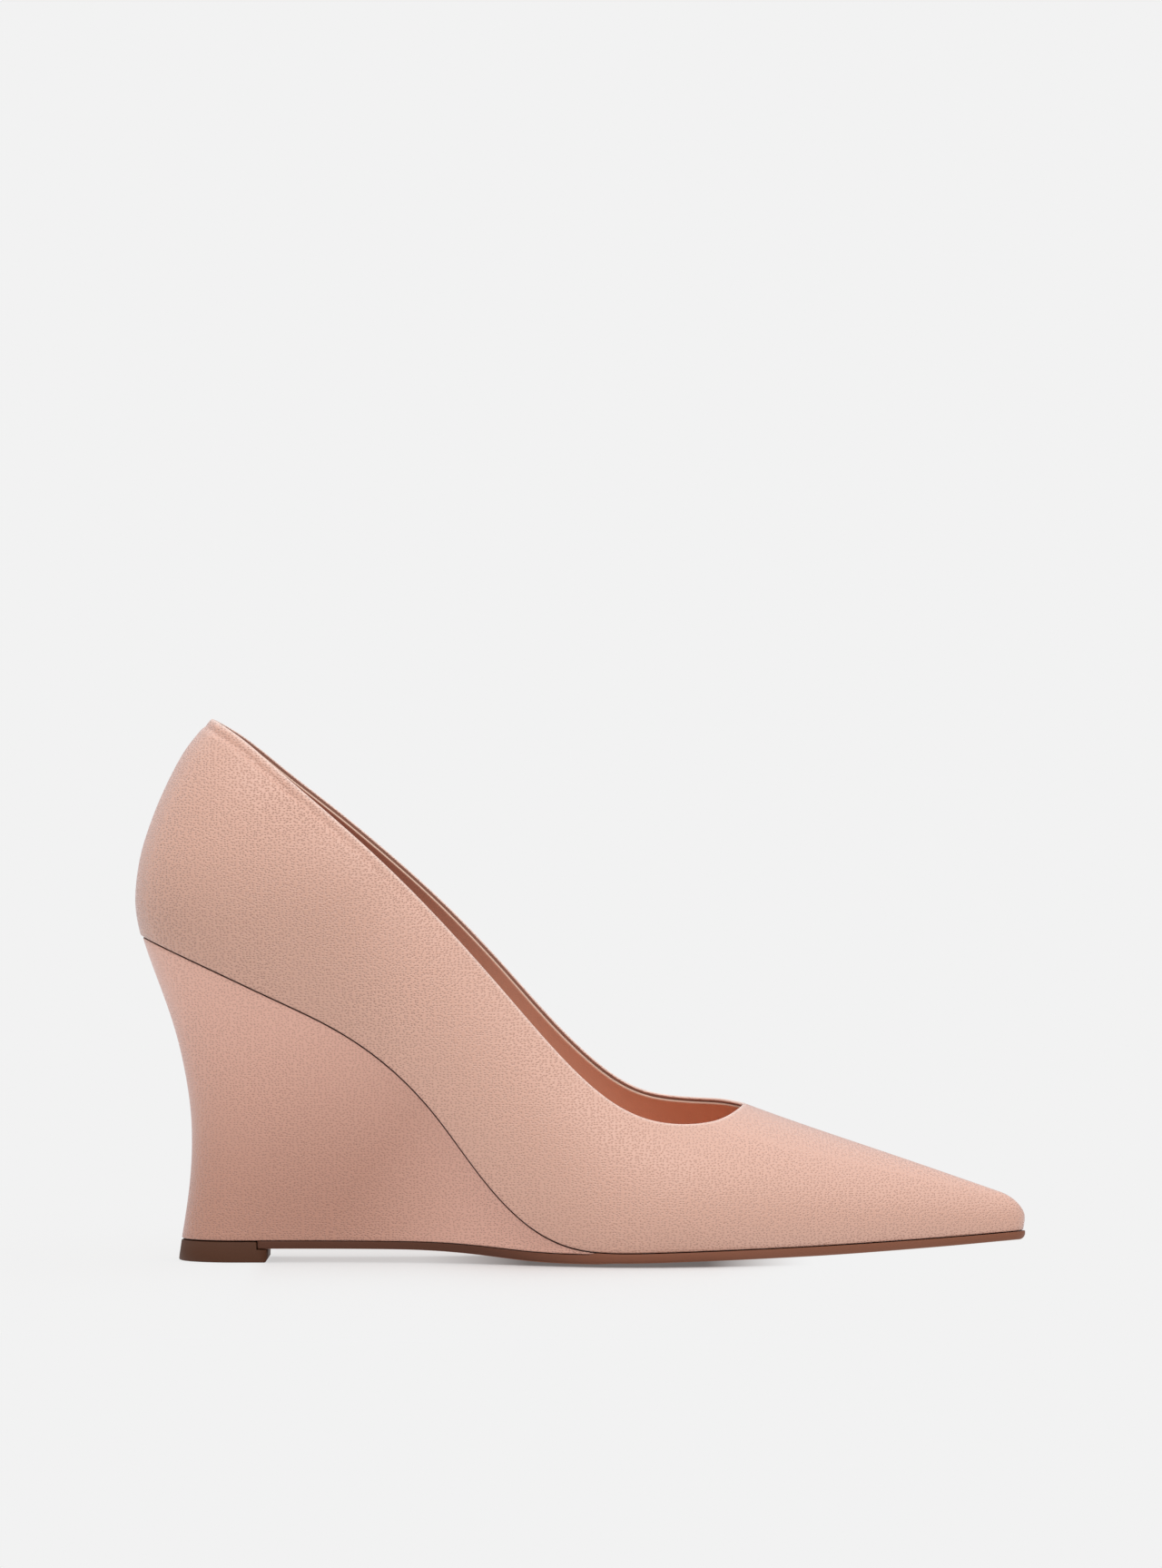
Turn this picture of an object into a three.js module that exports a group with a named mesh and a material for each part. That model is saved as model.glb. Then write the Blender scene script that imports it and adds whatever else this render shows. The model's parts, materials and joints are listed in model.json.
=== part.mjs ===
// Pointed wedge pump, right shoe, EU 37. Millimetres, +Z up.
// +X runs from the heel to the toe, the outer (lateral) side faces -Y and the inner (medial) side faces +Y.
// The floor is z = 0, and the origin lies under the middle of the shoe's box.
//
// Pieces, as a maker puts them together:
//   upper       one hollow leather shell, lasted, open at the collar and underneath
//   insole      board and sock, inside the shell's lower edge
//   wedge_heel  leather-covered block under heel seat and arch
//   outsole     thin sole from the toe to the heel lift
//   top_piece   heel lift that meets the floor, rabbeted over the outsole's end
import * as THREE from "three";
import { mergeVertices } from "three/addons/utils/BufferGeometryUtils.js";

// ------------------------------------------------------------------ sizes
const WALL = 1.6; // leather, stiffener and lining together
const GAP = 0.3; // between pieces that touch
const INSOLE_T = 2.0;
const TIP_X = 117.7; // front of the toe
const TIP_LEAN = 0.5; // the toe's front leans back this much down to the sole
const NOSE = { length: 6.5, drop: 4.5 }; // rounding of the ridge into the toe's front
const TOE_ROUND = 3.2; // plan rounding of the point
const HEEL_ROUND = { length: 38, power: 2.4 }; // plan rounding of the heel
const THROAT_X = 43.0; // front end of the collar
const ARCH_LIFT = { height: 2.8, at: -30, spread: 26 }; // inner side of the waist sits higher
const SOLE = { margin: 0.55, ball: 2.2, waist: 1.8, toe: 1.9, end: -84.9 };
const LIFT = { height: 5.4, front: -82.6, step: 3.35, flare: 0.8, round: 15 };
const WEDGE_FRONT = 3.5; // the wedge feathers out here
const WEDGE_INSET = 0.45; // the covered wedge sits this far inside the upper's edge
const Y_SHIFT = -0.65; // brings the box's middle to y = 0

// Cross-sections of the last, heel to toe:
//   half, centre  half width and middle of the feather line (the edge where upper meets bottom)
//   seat          height of the feather line on the outer side
//   crown, ridge  height and y of the last's top line (behind the throat it is the foot's instep, cut away by the collar)
//   full          how square the section is, 2 being an ellipse
//   swell         how far the wall stands out past the feather line
//   dip           how far the bottom's middle hangs below its edges
const SECTIONS = [
  { x: -118.0, half: 24.0, centre: 0.0, seat: 86.3, crown: 180.0, ridge: 0.0, full: 2.5, swell: 0.11, dip: 0.0 },
  { x: -95.0, half: 24.3, centre: -0.1, seat: 76.1, crown: 163.0, ridge: 0.0, full: 2.6, swell: 0.12, dip: 0.0 },
  { x: -80.0, half: 24.2, centre: -0.5, seat: 69.2, crown: 151.0, ridge: 0.1, full: 2.8, swell: 0.14, dip: 0.0 },
  { x: -64.5, half: 23.8, centre: -1.1, seat: 61.6, crown: 139.6, ridge: 0.4, full: 3.0, swell: 0.17, dip: 0.0 },
  { x: -49.5, half: 23.3, centre: -1.8, seat: 51.0, crown: 127.6, ridge: 0.6, full: 3.1, swell: 0.20, dip: 0.0 },
  { x: -38.0, half: 23.2, centre: -2.3, seat: 38.9, crown: 117.6, ridge: 0.8, full: 3.1, swell: 0.21, dip: 0.1 },
  { x: -26.5, half: 24.1, centre: -2.6, seat: 23.5, crown: 106.0, ridge: 1.0, full: 2.9, swell: 0.20, dip: 0.2 },
  { x: -15.0, half: 26.4, centre: -2.5, seat: 11.4, crown: 92.6, ridge: 1.2, full: 2.7, swell: 0.17, dip: 0.5 },
  { x: -3.8, half: 29.8, centre: -2.1, seat: 5.3, crown: 77.0, ridge: 1.3, full: 2.35, swell: 0.14, dip: 0.9 },
  { x: 8.0, half: 33.5, centre: -1.1, seat: 3.6, crown: 63.0, ridge: 1.6, full: 2.1, swell: 0.11, dip: 1.25 },
  { x: 18.0, half: 35.4, centre: 0.3, seat: 3.65, crown: 54.0, ridge: 1.9, full: 1.95, swell: 0.10, dip: 1.25 },
  { x: 28.0, half: 35.3, centre: 1.5, seat: 3.9, crown: 47.7, ridge: 2.2, full: 1.9, swell: 0.10, dip: 1.1 },
  { x: 42.6, half: 32.3, centre: 2.7, seat: 4.25, crown: 41.4, ridge: 2.8, full: 1.85, swell: 0.10, dip: 0.9 },
  { x: 60.0, half: 26.4, centre: 3.7, seat: 4.7, crown: 35.1, ridge: 4.2, full: 1.85, swell: 0.10, dip: 0.8 },
  { x: 80.0, half: 18.5, centre: 5.0, seat: 5.4, crown: 28.3, ridge: 5.4, full: 1.9, swell: 0.10, dip: 0.6 },
  { x: 100.0, half: 10.2, centre: 6.2, seat: 6.3, crown: 21.4, ridge: 6.4, full: 1.95, swell: 0.10, dip: 0.35 },
  { x: 118.0, half: 3.0, centre: 7.0, seat: 7.4, crown: 15.1, ridge: 7.0, full: 2.0, swell: 0.10, dip: 0.1 },
];

// Back of heel and wedge seen from the side: height, and where the back lies.
const BACK = [
  { z: 152.0, x: -88.0 },
  { z: 143.2, x: -97.2 },
  { z: 136.0, x: -103.6 },
  { z: 128.8, x: -107.9 },
  { z: 121.6, x: -111.3 },
  { z: 114.4, x: -114.1 },
  { z: 107.2, x: -116.3 },
  { z: 100.0, x: -117.5 },
  { z: 94.6, x: -117.8 },
  { z: 89.2, x: -117.2 },
  { z: 82.0, x: -115.2 },
  { z: 71.2, x: -111.2 },
  { z: 60.4, x: -107.5 },
  { z: 49.6, x: -104.9 },
  { z: 38.8, x: -103.3 },
  { z: 28.0, x: -103.0 },
  { z: 17.2, x: -103.8 },
  { z: 5.0, x: -105.6 },
];

// Collar edge seen from the side: height on the outer and the inner side.
const COLLAR = [
  { x: -97.4, outer: 143.0, inner: 143.0 },
  { x: -90.0, outer: 138.4, inner: 138.5 },
  { x: -80.0, outer: 130.1, inner: 130.6 },
  { x: -65.0, outer: 117.2, inner: 118.8 },
  { x: -50.0, outer: 103.6, inner: 106.3 },
  { x: -35.0, outer: 88.3, inner: 92.6 },
  { x: -20.0, outer: 71.5, inner: 76.8 },
  { x: -8.0, outer: 57.8, inner: 63.4 },
  { x: 2.0, outer: 47.7, inner: 53.5 },
  { x: 10.0, outer: 41.7, inner: 47.3 },
  { x: 18.0, outer: 38.2, inner: 43.7 },
  { x: 25.0, outer: 37.0, inner: 42.6 },
  { x: 32.0, outer: 37.1, inner: 42.3 },
  { x: 38.0, outer: 38.5, inner: 42.1 },
  { x: 43.0, outer: 41.25, inner: 41.25 },
];

// Bottom of the wedge, where lift and outsole are fixed: half width, middle and height of its edge.
const BASE = [
  { x: -106.0, half: 14.0, centre: 0.0, z: 5.7 },
  { x: -90.0, half: 14.0, centre: 0.0, z: 5.7 },
  { x: -70.0, half: 13.6, centre: -0.3, z: 5.7 },
  { x: -50.0, half: 14.4, centre: -0.8, z: 5.65 },
  { x: -36.0, half: 16.8, centre: -1.3, z: 5.4 },
  { x: -24.0, half: 20.6, centre: -1.8, z: 4.65 },
  { x: -13.0, half: 25.2, centre: -2.1, z: 3.75 },
  { x: -3.8, half: 29.0, centre: -2.0, z: 3.35 },
  { x: 4.0, half: 32.0, centre: -1.5, z: 3.3 },
];

// ------------------------------------------------------------------ smooth tables
function curve(rows, key, value) {
  const at = rows.map((r) => r[key]);
  const v = rows.map((r) => r[value]);
  if (at[0] > at[at.length - 1]) {
    at.reverse();
    v.reverse();
  }
  const n = at.length;
  const m = new Array(n).fill(0);
  const c = new Array(n).fill(0);
  const d = new Array(n).fill(0);
  for (let i = 1; i < n - 1; i++) {
    const a = at[i] - at[i - 1];
    const b = at[i + 1] - at[i];
    const k = 2 * (a + b) - a * c[i - 1];
    c[i] = b / k;
    d[i] = (6 * ((v[i + 1] - v[i]) / b - (v[i] - v[i - 1]) / a) - a * d[i - 1]) / k;
  }
  for (let i = n - 2; i > 0; i--) m[i] = d[i] - c[i] * m[i + 1];
  return (t) => {
    let i = 0;
    while (i < n - 2 && t > at[i + 1]) i++;
    const h = at[i + 1] - at[i];
    const slope = (v[i + 1] - v[i]) / h;
    if (t < at[0]) return v[0] + (t - at[0]) * (slope - (h * (2 * m[0] + m[1])) / 6);
    if (t > at[n - 1]) return v[n - 1] + (t - at[n - 1]) * (slope + (h * (m[n - 2] + 2 * m[n - 1])) / 6);
    const p = t - at[i];
    const q = at[i + 1] - t;
    return (
      (m[i] * q ** 3 + m[i + 1] * p ** 3) / (6 * h) +
      (v[i] / h - (m[i] * h) / 6) * q +
      (v[i + 1] / h - (m[i + 1] * h) / 6) * p
    );
  };
}
const clamp = (v, lo, hi) => Math.min(hi, Math.max(lo, v));
const mix = (a, b, t) => a + (b - a) * t;
const smooth = (a, b, v) => {
  const t = clamp((v - a) / (b - a), 0, 1);
  return t * t * (3 - 2 * t);
};
const roundEnd = (t, power) => Math.sqrt(Math.max(0, 1 - Math.pow(1 - clamp(t, 0, 1), power)));

const halfAt = curve(SECTIONS, "x", "half");
const centreAt = curve(SECTIONS, "x", "centre");
const outerSeat = curve(SECTIONS, "x", "seat");
const crownLine = curve(SECTIONS, "x", "crown");
const ridgeAt = curve(SECTIONS, "x", "ridge");
const fullAt = curve(SECTIONS, "x", "full");
const swellAt = curve(SECTIONS, "x", "swell");
const dipAt = curve(SECTIONS, "x", "dip");
const backAt = curve(BACK, "z", "x");
const outerCollar = curve(COLLAR, "x", "outer");
const innerCollar = curve(COLLAR, "x", "inner");
const baseHalf = curve(BASE, "x", "half");
const baseCentre = curve(BASE, "x", "centre");
const baseEdge = curve(BASE, "x", "z");

// ------------------------------------------------------------------ the last
// side is -1 on the outer side and +1 on the inner side; inset moves the surface inwards.
const seatAt = (side, x) =>
  outerSeat(x) + (side > 0 ? ARCH_LIFT.height * Math.exp(-(((x - ARCH_LIFT.at) / ARCH_LIFT.spread) ** 2)) : 0);
const tipAt = (z) => TIP_X - TIP_LEAN * clamp((11 - z) / 3.6, 0, 1) ** 2;
const slopeOf = (x) => Math.hypot(1, (halfAt(x + 0.5) - halfAt(x - 0.5)) * 0.9);
const crownAt = (x) => {
  const nose = clamp((x - (TIP_X - NOSE.length)) / NOSE.length, 0, 1);
  return crownLine(x) - NOSE.drop * (1 - Math.sqrt(1 - nose * nose));
};
const collarAt = (side, x) => Math.min(side < 0 ? outerCollar(x) : innerCollar(x), crownLine(x));

function wallY(side, x, z, inset = 0) {
  const seat = seatAt(side, x);
  const h = clamp((z - seat) / (crownAt(x) - seat), 0, 1);
  const body = Math.sqrt(Math.max(0, 1 - Math.pow(h, fullAt(x)))) * (1 + 4 * swellAt(x) * h * (1 - h));
  const wide = halfAt(x) * body - inset * slopeOf(x);
  const heel = roundEnd((x - backAt(z) - inset) / HEEL_ROUND.length, HEEL_ROUND.power);
  const toe = roundEnd((tipAt(z) - inset - x) / TOE_ROUND, 2);
  const middle = mix(centreAt(x), ridgeAt(x), smooth(0, 1, h));
  return middle + side * Math.max(0, wide) * heel * toe;
}
// Outward direction of the skin; back, ridge and toe front are shared by both sides.
function wallNormal(side, x, z) {
  const room = { ridge: crownAt(x) - z, back: x - backAt(z), toe: tipAt(z) - x };
  const least = Math.min(room.ridge, room.back, room.toe);
  const n = new THREE.Vector3();
  if (least > 2e-3) {
    const d = Math.min(0.05, least / 3);
    const h = Math.max(z, seatAt(side, x) + d);
    const dx = (wallY(side, x + d, h) - wallY(side, x - d, h)) / (2 * d);
    const dz = (wallY(side, x, h + d) - wallY(side, x, h - d)) / (2 * d);
    n.set(-side * dx, side, -side * dz);
  } else if (room.back === least) n.set(-1, 0, (backAt(z + 0.1) - backAt(z - 0.1)) / 0.2);
  else if (room.toe <= 2e-3) n.set(1, 0, -(tipAt(z + 0.1) - tipAt(z - 0.1)) / 0.2);
  else n.set(-(crownAt(x + 1e-3) - crownAt(x - 1e-3)) / 2e-3, 0, 1);
  return n.normalize();
}
// Underside of upper and insole, at y across the bottom.
function floorOf(x, y) {
  const t = clamp((y - centreAt(x)) / Math.max(1, halfAt(x)), -1, 1);
  return mix(seatAt(-1, x), seatAt(1, x), (t + 1) / 2) - dipAt(x) * (1 - t * t);
}
// Underside of the wedge, and of the last where there is no wedge, at y across the bottom.
function baseOf(x, y) {
  const t = clamp((y - centreAt(x)) / Math.max(1, halfAt(x)), -1, 1);
  const edge = baseEdge(Math.min(x, WEDGE_FRONT));
  const base = edge - dipAt(x) * smooth(-45, -10, x) * (1 - t * t);
  return mix(base, floorOf(x, y), smooth(WEDGE_FRONT, WEDGE_FRONT + 7, x));
}
// x where a line z(x) meets the heel's back, moved in by inset.
function meetBack(line, inset) {
  let lo = -130;
  let hi = -60;
  for (let i = 0; i < 60; i++) {
    const mid = (lo + hi) / 2;
    if (mid < backAt(line(mid)) + inset) lo = mid;
    else hi = mid;
  }
  return hi;
}

// ------------------------------------------------------------------ mesh helpers
// Turns the faces of a closed surface so that neighbours agree and all look outwards.
function faceOut(index, position) {
  const faces = index.length / 3;
  const byEdge = new Map();
  const edge = (a, b) => (a < b ? a + "_" + b : b + "_" + a);
  for (let f = 0; f < faces; f++)
    for (let k = 0; k < 3; k++) {
      const key = edge(index[3 * f + k], index[3 * f + ((k + 1) % 3)]);
      if (!byEdge.has(key)) byEdge.set(key, []);
      byEdge.get(key).push(f);
    }
  const runs = (f, a, b) => [0, 1, 2].some((k) => index[3 * f + k] === a && index[3 * f + ((k + 1) % 3)] === b);
  const seen = new Uint8Array(faces);
  const queue = [0];
  seen[0] = 1;
  while (queue.length) {
    const f = queue.pop();
    for (let k = 0; k < 3; k++) {
      const a = index[3 * f + k];
      const b = index[3 * f + ((k + 1) % 3)];
      for (const g of byEdge.get(edge(a, b))) {
        if (seen[g]) continue;
        if (runs(g, a, b)) [index[3 * g + 1], index[3 * g + 2]] = [index[3 * g + 2], index[3 * g + 1]];
        seen[g] = 1;
        queue.push(g);
      }
    }
  }
  const p = (i) => new THREE.Vector3().fromArray(position, 3 * i);
  let volume = 0;
  for (let f = 0; f < faces; f++)
    volume += p(index[3 * f]).dot(p(index[3 * f + 1]).cross(p(index[3 * f + 2])));
  if (volume < 0)
    for (let f = 0; f < faces; f++)
      [index[3 * f + 1], index[3 * f + 2]] = [index[3 * f + 2], index[3 * f + 1]];
}
function solid(name, triangles, colour, roughness) {
  const g = new THREE.BufferGeometry();
  g.setAttribute("position", new THREE.Float32BufferAttribute(triangles.flat(), 3));
  g.translate(0, Y_SHIFT, 0);
  const merged = mergeVertices(g, 2e-3);
  const keep = [];
  const at = merged.index.array;
  for (let i = 0; i < at.length; i += 3)
    if (at[i] !== at[i + 1] && at[i + 1] !== at[i + 2] && at[i] !== at[i + 2]) keep.push(at[i], at[i + 1], at[i + 2]);
  faceOut(keep, merged.attributes.position.array);
  merged.setIndex(keep);
  merged.computeVertexNormals();
  const mesh = new THREE.Mesh(
    merged,
    new THREE.MeshStandardMaterial({ color: new THREE.Color(...colour), roughness, metalness: 0 }),
  );
  mesh.name = name;
  return mesh;
}
// Faces between two rows of points, and over a grid of rows.
function strip(out, a, b) {
  for (let i = 0; i + 1 < a.length; i++) out.push(a[i], a[i + 1], b[i + 1], a[i], b[i + 1], b[i]);
}
const grid = (out, rows) => {
  for (let i = 0; i + 1 < rows.length; i++) strip(out, rows[i], rows[i + 1]);
};

// ------------------------------------------------------------------ upper
const REAR = 28; // stations from the heel's back to the throat
const FRONT = 18; // stations from the throat to the toe
const RISE = 9; // steps up the wall

// Where each station between heel (0) and throat (1) stands on the feather line.
const LEAN = [
  { share: 0.0, foot: -116.0 },
  { share: 0.19, foot: -101.0 },
  { share: 0.35, foot: -77.0 },
  { share: 0.5, foot: -49.0 },
  { share: 0.63, foot: -25.0 },
  { share: 0.74, foot: -4.0 },
  { share: 0.84, foot: 16.0 },
  { share: 0.92, foot: 34.0 },
  { share: 1.0, foot: 58.0 },
];
const footOf = curve(LEAN, "share", "foot");

// Outer skin of one side: a row of points from feather line to collar or ridge at each station.
function skin(side) {
  const foot0 = meetBack((x) => seatAt(-1, x), 0);
  const top0 = meetBack((x) => collarAt(-1, x), 0);
  const low0 = seatAt(-1, foot0);
  const high0 = collarAt(-1, top0);
  const rows = [];
  const station = (fx, fz, tx, tz, bow, crowd) => {
    const row = [];
    for (let j = 0; j <= RISE; j++) {
      const v = j / RISE;
      const t = mix(v, Math.sin((v * Math.PI) / 2), crowd);
      const straight = mix(fz, tz, t);
      let x = mix(tx, fx, mix(1 - t, Math.sqrt(1 - t), crowd));
      x += (backAt(mix(low0, high0, t)) - mix(foot0, top0, t)) * bow;
      let z = mix(straight, mix(seatAt(side, x), tz + crownAt(x) - crownAt(tx), t), crowd);
      if (bow === 1) [x, z] = [backAt(straight), straight];
      if (tx === TIP_X) [x, z] = [tipAt(straight), straight];
      row.push([x, wallY(side, x, z), z]);
    }
    rows.push(row);
  };
  station(foot0, low0, top0, high0, 1, 0);
  for (let i = 1; i <= REAR; i++) {
    const s = i / REAR;
    const tx = mix(top0, THROAT_X, (1 - Math.cos(Math.PI * s)) / 2);
    const fx = footOf(s);
    const bow = Math.max(0, 1 - (s / 0.6) ** 2) ** 2;
    station(fx, seatAt(side, fx), tx, i < REAR ? collarAt(side, tx) : crownAt(tx), bow, smooth(0.55, 1, s));
  }
  const tipFoot = tipAt(outerSeat(TIP_X));
  for (let i = 1; i <= FRONT; i++) {
    const r = i / FRONT;
    const tx = i < FRONT ? mix(THROAT_X, TIP_X, 1 - (1 - r) ** 2 * (1 + 1.3 * r)) : TIP_X;
    const fx = mix(footOf(1), tipFoot, 1 - (1 - r) ** 2 * (1 + 1.5 * r));
    station(fx, seatAt(side, fx), tx, crownAt(tx), 0, 1);
  }
  return rows;
}

function makeUpper() {
  const outer = { [-1]: skin(-1), [1]: skin(1) };
  // the lining's face lies one wall thickness inside the skin
  const lining = (side) =>
    outer[side].map((row) =>
      row.map(([x, y, z], j) => {
        const n = wallNormal(side, x, z);
        const q = [x - WALL * n.x, y - WALL * n.y, z - WALL * n.z];
        return j === 0 ? [q[0], q[1], floorOf(q[0], q[1])] : q;
      }),
    );
  const t = [];
  for (const side of [-1, 1]) {
    const inner = lining(side);
    grid(t, outer[side]);
    grid(t, inner);
    // feather edge all round, and the collar's rim back to the throat
    strip(t, outer[side].map((r) => r[0]), inner.map((r) => r[0]));
    const rim = (rows) => rows.slice(0, REAR + 1).map((r) => r[RISE]);
    strip(t, rim(outer[side]), rim(inner));
  }
  return solid("upper", t, [0.85, 0.68, 0.6], 0.45);
}

// ------------------------------------------------------------------ insole
function makeInsole() {
  const t = [];
  const inset = WALL + GAP;
  const start = meetBack((x) => seatAt(-1, x), inset) + 0.05;
  const end = tipAt(seatAt(-1, TIP_X)) - inset - 3;
  const along = 40;
  const across = 8;
  const top = [];
  const low = [];
  for (let i = 0; i <= along; i++) {
    const s = i / along;
    const x = mix(start, end, mix((1 - Math.cos(Math.PI * s)) / 2, s, 0.35 * smooth(0, 0.2, s) * smooth(0, 0.2, 1 - s)));
    const rowT = [];
    const rowL = [];
    for (let j = 0; j <= across; j++) {
      const u = Math.sin(((j / across) * 2 - 1) * (Math.PI / 2));
      const lift = INSOLE_T * (i > 0 && i < along ? 1 : 0.999);
      const a = wallY(-1, x, seatAt(-1, x) + 0.01, inset);
      const b = wallY(1, x, seatAt(1, x) + 0.01, inset);
      const y = mix(a, b, (u + 1) / 2);
      const z = floorOf(x, y);
      rowL.push([x, y, z]);
      rowT.push([x, y, z + lift]);
    }
    top.push(rowT);
    low.push(rowL);
  }
  grid(t, top);
  grid(t, low);
  for (const j of [0, across]) strip(t, low.map((r) => r[j]), top.map((r) => r[j]));
  for (const i of [0, along]) strip(t, low[i], top[i]);
  return solid("insole", t, [0.72, 0.5, 0.38], 0.6);
}

// ------------------------------------------------------------------ wedge heel
// Edge of the covered wedge at height share e, 0 at its base and 1 under the upper.
function wedgeY(side, x, z, e, backShift = 0) {
  const g = Math.pow(e, 1.35);
  const w = mix(baseHalf(x), halfAt(x) - WEDGE_INSET, g);
  const c = mix(baseCentre(x), centreAt(x), g);
  const len = mix(LIFT.round, HEEL_ROUND.length, smooth(0, 1, e));
  const heel = roundEnd((x - backAt(z) - WEDGE_INSET * e - backShift) / len, mix(2, HEEL_ROUND.power, e));
  return c + side * w * heel;
}

function makeWedge() {
  const t = [];
  const along = 26;
  const rise = 8;
  const across = 6;
  const under = (x, y) => floorOf(x, y) - GAP;
  const top0 = meetBack((x) => under(x, centreAt(x)), WEDGE_INSET);
  const low0 = meetBack((x) => baseOf(x, 0), 0);
  const z0 = under(top0, centreAt(top0));
  const zl0 = baseOf(low0, 0);
  const wall = (side) => {
    const rows = [];
    for (let i = 0; i <= along; i++) {
      const s = i / along;
      const k = mix(1 - Math.cos((Math.PI / 2) * s), (1 - Math.cos(Math.PI * s)) / 2, 0.6);
      const tx = mix(top0, WEDGE_FRONT, k);
      const lx = mix(low0, WEDGE_FRONT, k);
      const tz = i === 0 ? z0 : under(tx, wedgeY(side, tx, under(tx, side * 20), 1));
      const lz = i === 0 ? zl0 : baseOf(lx, wedgeY(side, lx, baseOf(lx, 0), 0));
      const bow = Math.max(0, 1 - (s / 0.9) ** 2) ** 2;
      const row = [];
      for (let j = 0; j <= rise; j++) {
        const e = j / rise;
        const z = mix(lz, tz, e);
        const back = backAt(mix(zl0, z0, e)) + WEDGE_INSET * e;
        const x = i === 0 ? back : mix(lx, tx, e) + (back - mix(low0, top0, e)) * bow;
        row.push([x, wedgeY(side, x, z, e), z]);
      }
      rows.push(row);
    }
    return rows;
  };
  const outer = wall(-1);
  const inner = wall(1);
  grid(t, outer);
  grid(t, inner);
  // across the wedge from wall to wall: the bed of the upper above, the base below, and the thin front
  const span = (a, b, height) =>
    Array.from({ length: across + 1 }, (_, k) => {
      if (k === 0) return a;
      if (k === across) return b;
      const x = mix(a[0], b[0], k / across);
      const y = mix(a[1], b[1], k / across);
      return [x, y, height(x, y)];
    });
  const bed = outer.map((r, i) => span(r[rise], inner[i][rise], under));
  const base = outer.map((r, i) => span(r[0], inner[i][0], baseOf));
  grid(t, bed);
  grid(t, base);
  grid(
    t,
    outer[along].map((a, j) => {
      if (j === 0) return base[along];
      if (j === rise) return bed[along];
      return span(a, inner[along][j], (x, y) => mix(baseOf(x, y), under(x, y), j / rise));
    }),
  );
  return solid("wedge_heel", t, [0.84, 0.66, 0.59], 0.45);
}

// ------------------------------------------------------------------ outsole
const joinAt = (x) => smooth(-8, 10, x); // 0 along the wedge's base, 1 along the feather line
function soleY(side, x) {
  const w = mix(baseHalf(Math.min(x, 4)), halfAt(x) + SOLE.margin, joinAt(x));
  const c = mix(baseCentre(Math.min(x, 4)), centreAt(x), joinAt(x));
  return c + side * w * roundEnd((TIP_X + 0.1 - x) / TOE_ROUND, 2);
}
const soleT = (x) => mix(mix(SOLE.waist, SOLE.ball, smooth(-50, -10, x)), SOLE.toe, smooth(60, 115, x));

function makeOutsole() {
  const t = [];
  const along = 44;
  const across = 10;
  const top = [];
  const low = [];
  for (let i = 0; i <= along; i++) {
    const s = i / along;
    const x = mix(SOLE.end, TIP_X + 0.05, mix(s, Math.sin((Math.PI / 2) * s), 0.55 * smooth(0.3, 1, s) + 0.2));
    const a = soleY(-1, x);
    const b = soleY(1, x);
    const thick = soleT(x);
    const rowT = [];
    const rowL = [];
    for (let j = 0; j <= across; j++) {
      const u = (Math.sin(((j / across) * 2 - 1) * (Math.PI / 2)) + 1) / 2;
      const y = mix(a, b, u);
      const z = baseOf(x, y) - GAP;
      rowT.push([x, y, z]);
      rowL.push([x, y, Math.max(0, z - thick)]);
    }
    top.push(rowT);
    low.push(rowL);
  }
  grid(t, top);
  grid(t, low);
  for (const j of [0, across]) strip(t, low.map((r) => r[j]), top.map((r) => r[j]));
  for (const i of [0, along]) strip(t, low[i], top[i]);
  return solid("outsole", t, [0.45, 0.29, 0.22], 0.5);
}

// ------------------------------------------------------------------ heel lift
function makeLift() {
  const t = [];
  const steps = 10;
  const back = backAt(LIFT.height + 0.3);
  const shelf = SOLE.end - GAP; // behind the outsole's end the lift reaches up to the wedge
  // levels from the floor up; each is a ring of outline points at that height
  const outline = (z, front) => {
    const grow = LIFT.flare * (1 - z / LIFT.height);
    const start = back - grow;
    const pts = [];
    for (let i = 0; i <= steps; i++) {
      const s = i / steps;
      const x = mix(start, Math.min(front, shelf), 1 - Math.cos((Math.PI / 2) * s));
      const w = (baseHalf(x) + grow * 0.5) * roundEnd((x - start) / LIFT.round, 2);
      pts.push([x, w]);
    }
    return { pts, z, front };
  };
  const ring = (z, front) => {
    const o = outline(z, front);
    const line = o.pts.map(([x, w]) => [x, w]);
    if (front > shelf) line.push([front, baseHalf(front) + LIFT.flare * 0.5 * (1 - z / LIFT.height)]);
    return line;
  };
  const rings = [
    { z: 0, line: ring(0, LIFT.front) },
    { z: LIFT.step, line: ring(LIFT.step, LIFT.front) },
  ];
  const side = (line, z, sgn) => line.map(([x, w]) => [x, sgn * w, z]);
  for (const sgn of [-1, 1]) {
    strip(t, side(rings[0].line, rings[0].z, sgn), side(rings[1].line, rings[1].z, sgn));
    const shortLow = side(rings[1].line.slice(0, steps + 1), rings[1].z, sgn);
    const shortTop = side(ring(LIFT.height, shelf), LIFT.height, sgn);
    strip(t, shortLow, shortTop);
  }
  const cap = (line, z) => strip(t, side(line, z, -1), side(line, z, 1));
  cap(rings[0].line, 0);
  cap(ring(LIFT.height, shelf), LIFT.height);
  cap(rings[1].line.slice(steps), LIFT.step);
  const wall = (lineLow, zLow, lineTop, zTop) => {
    const [xa, wa] = lineLow[lineLow.length - 1];
    const [xb, wb] = lineTop[lineTop.length - 1];
    strip(t, [[xa, -wa, zLow], [xa, wa, zLow]], [[xb, -wb, zTop], [xb, wb, zTop]]);
  };
  wall(rings[0].line, 0, rings[1].line, LIFT.step);
  wall(rings[1].line.slice(0, steps + 1), LIFT.step, ring(LIFT.height, shelf), LIFT.height);
  return solid("top_piece", t, [0.33, 0.22, 0.17], 0.55);
}

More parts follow.
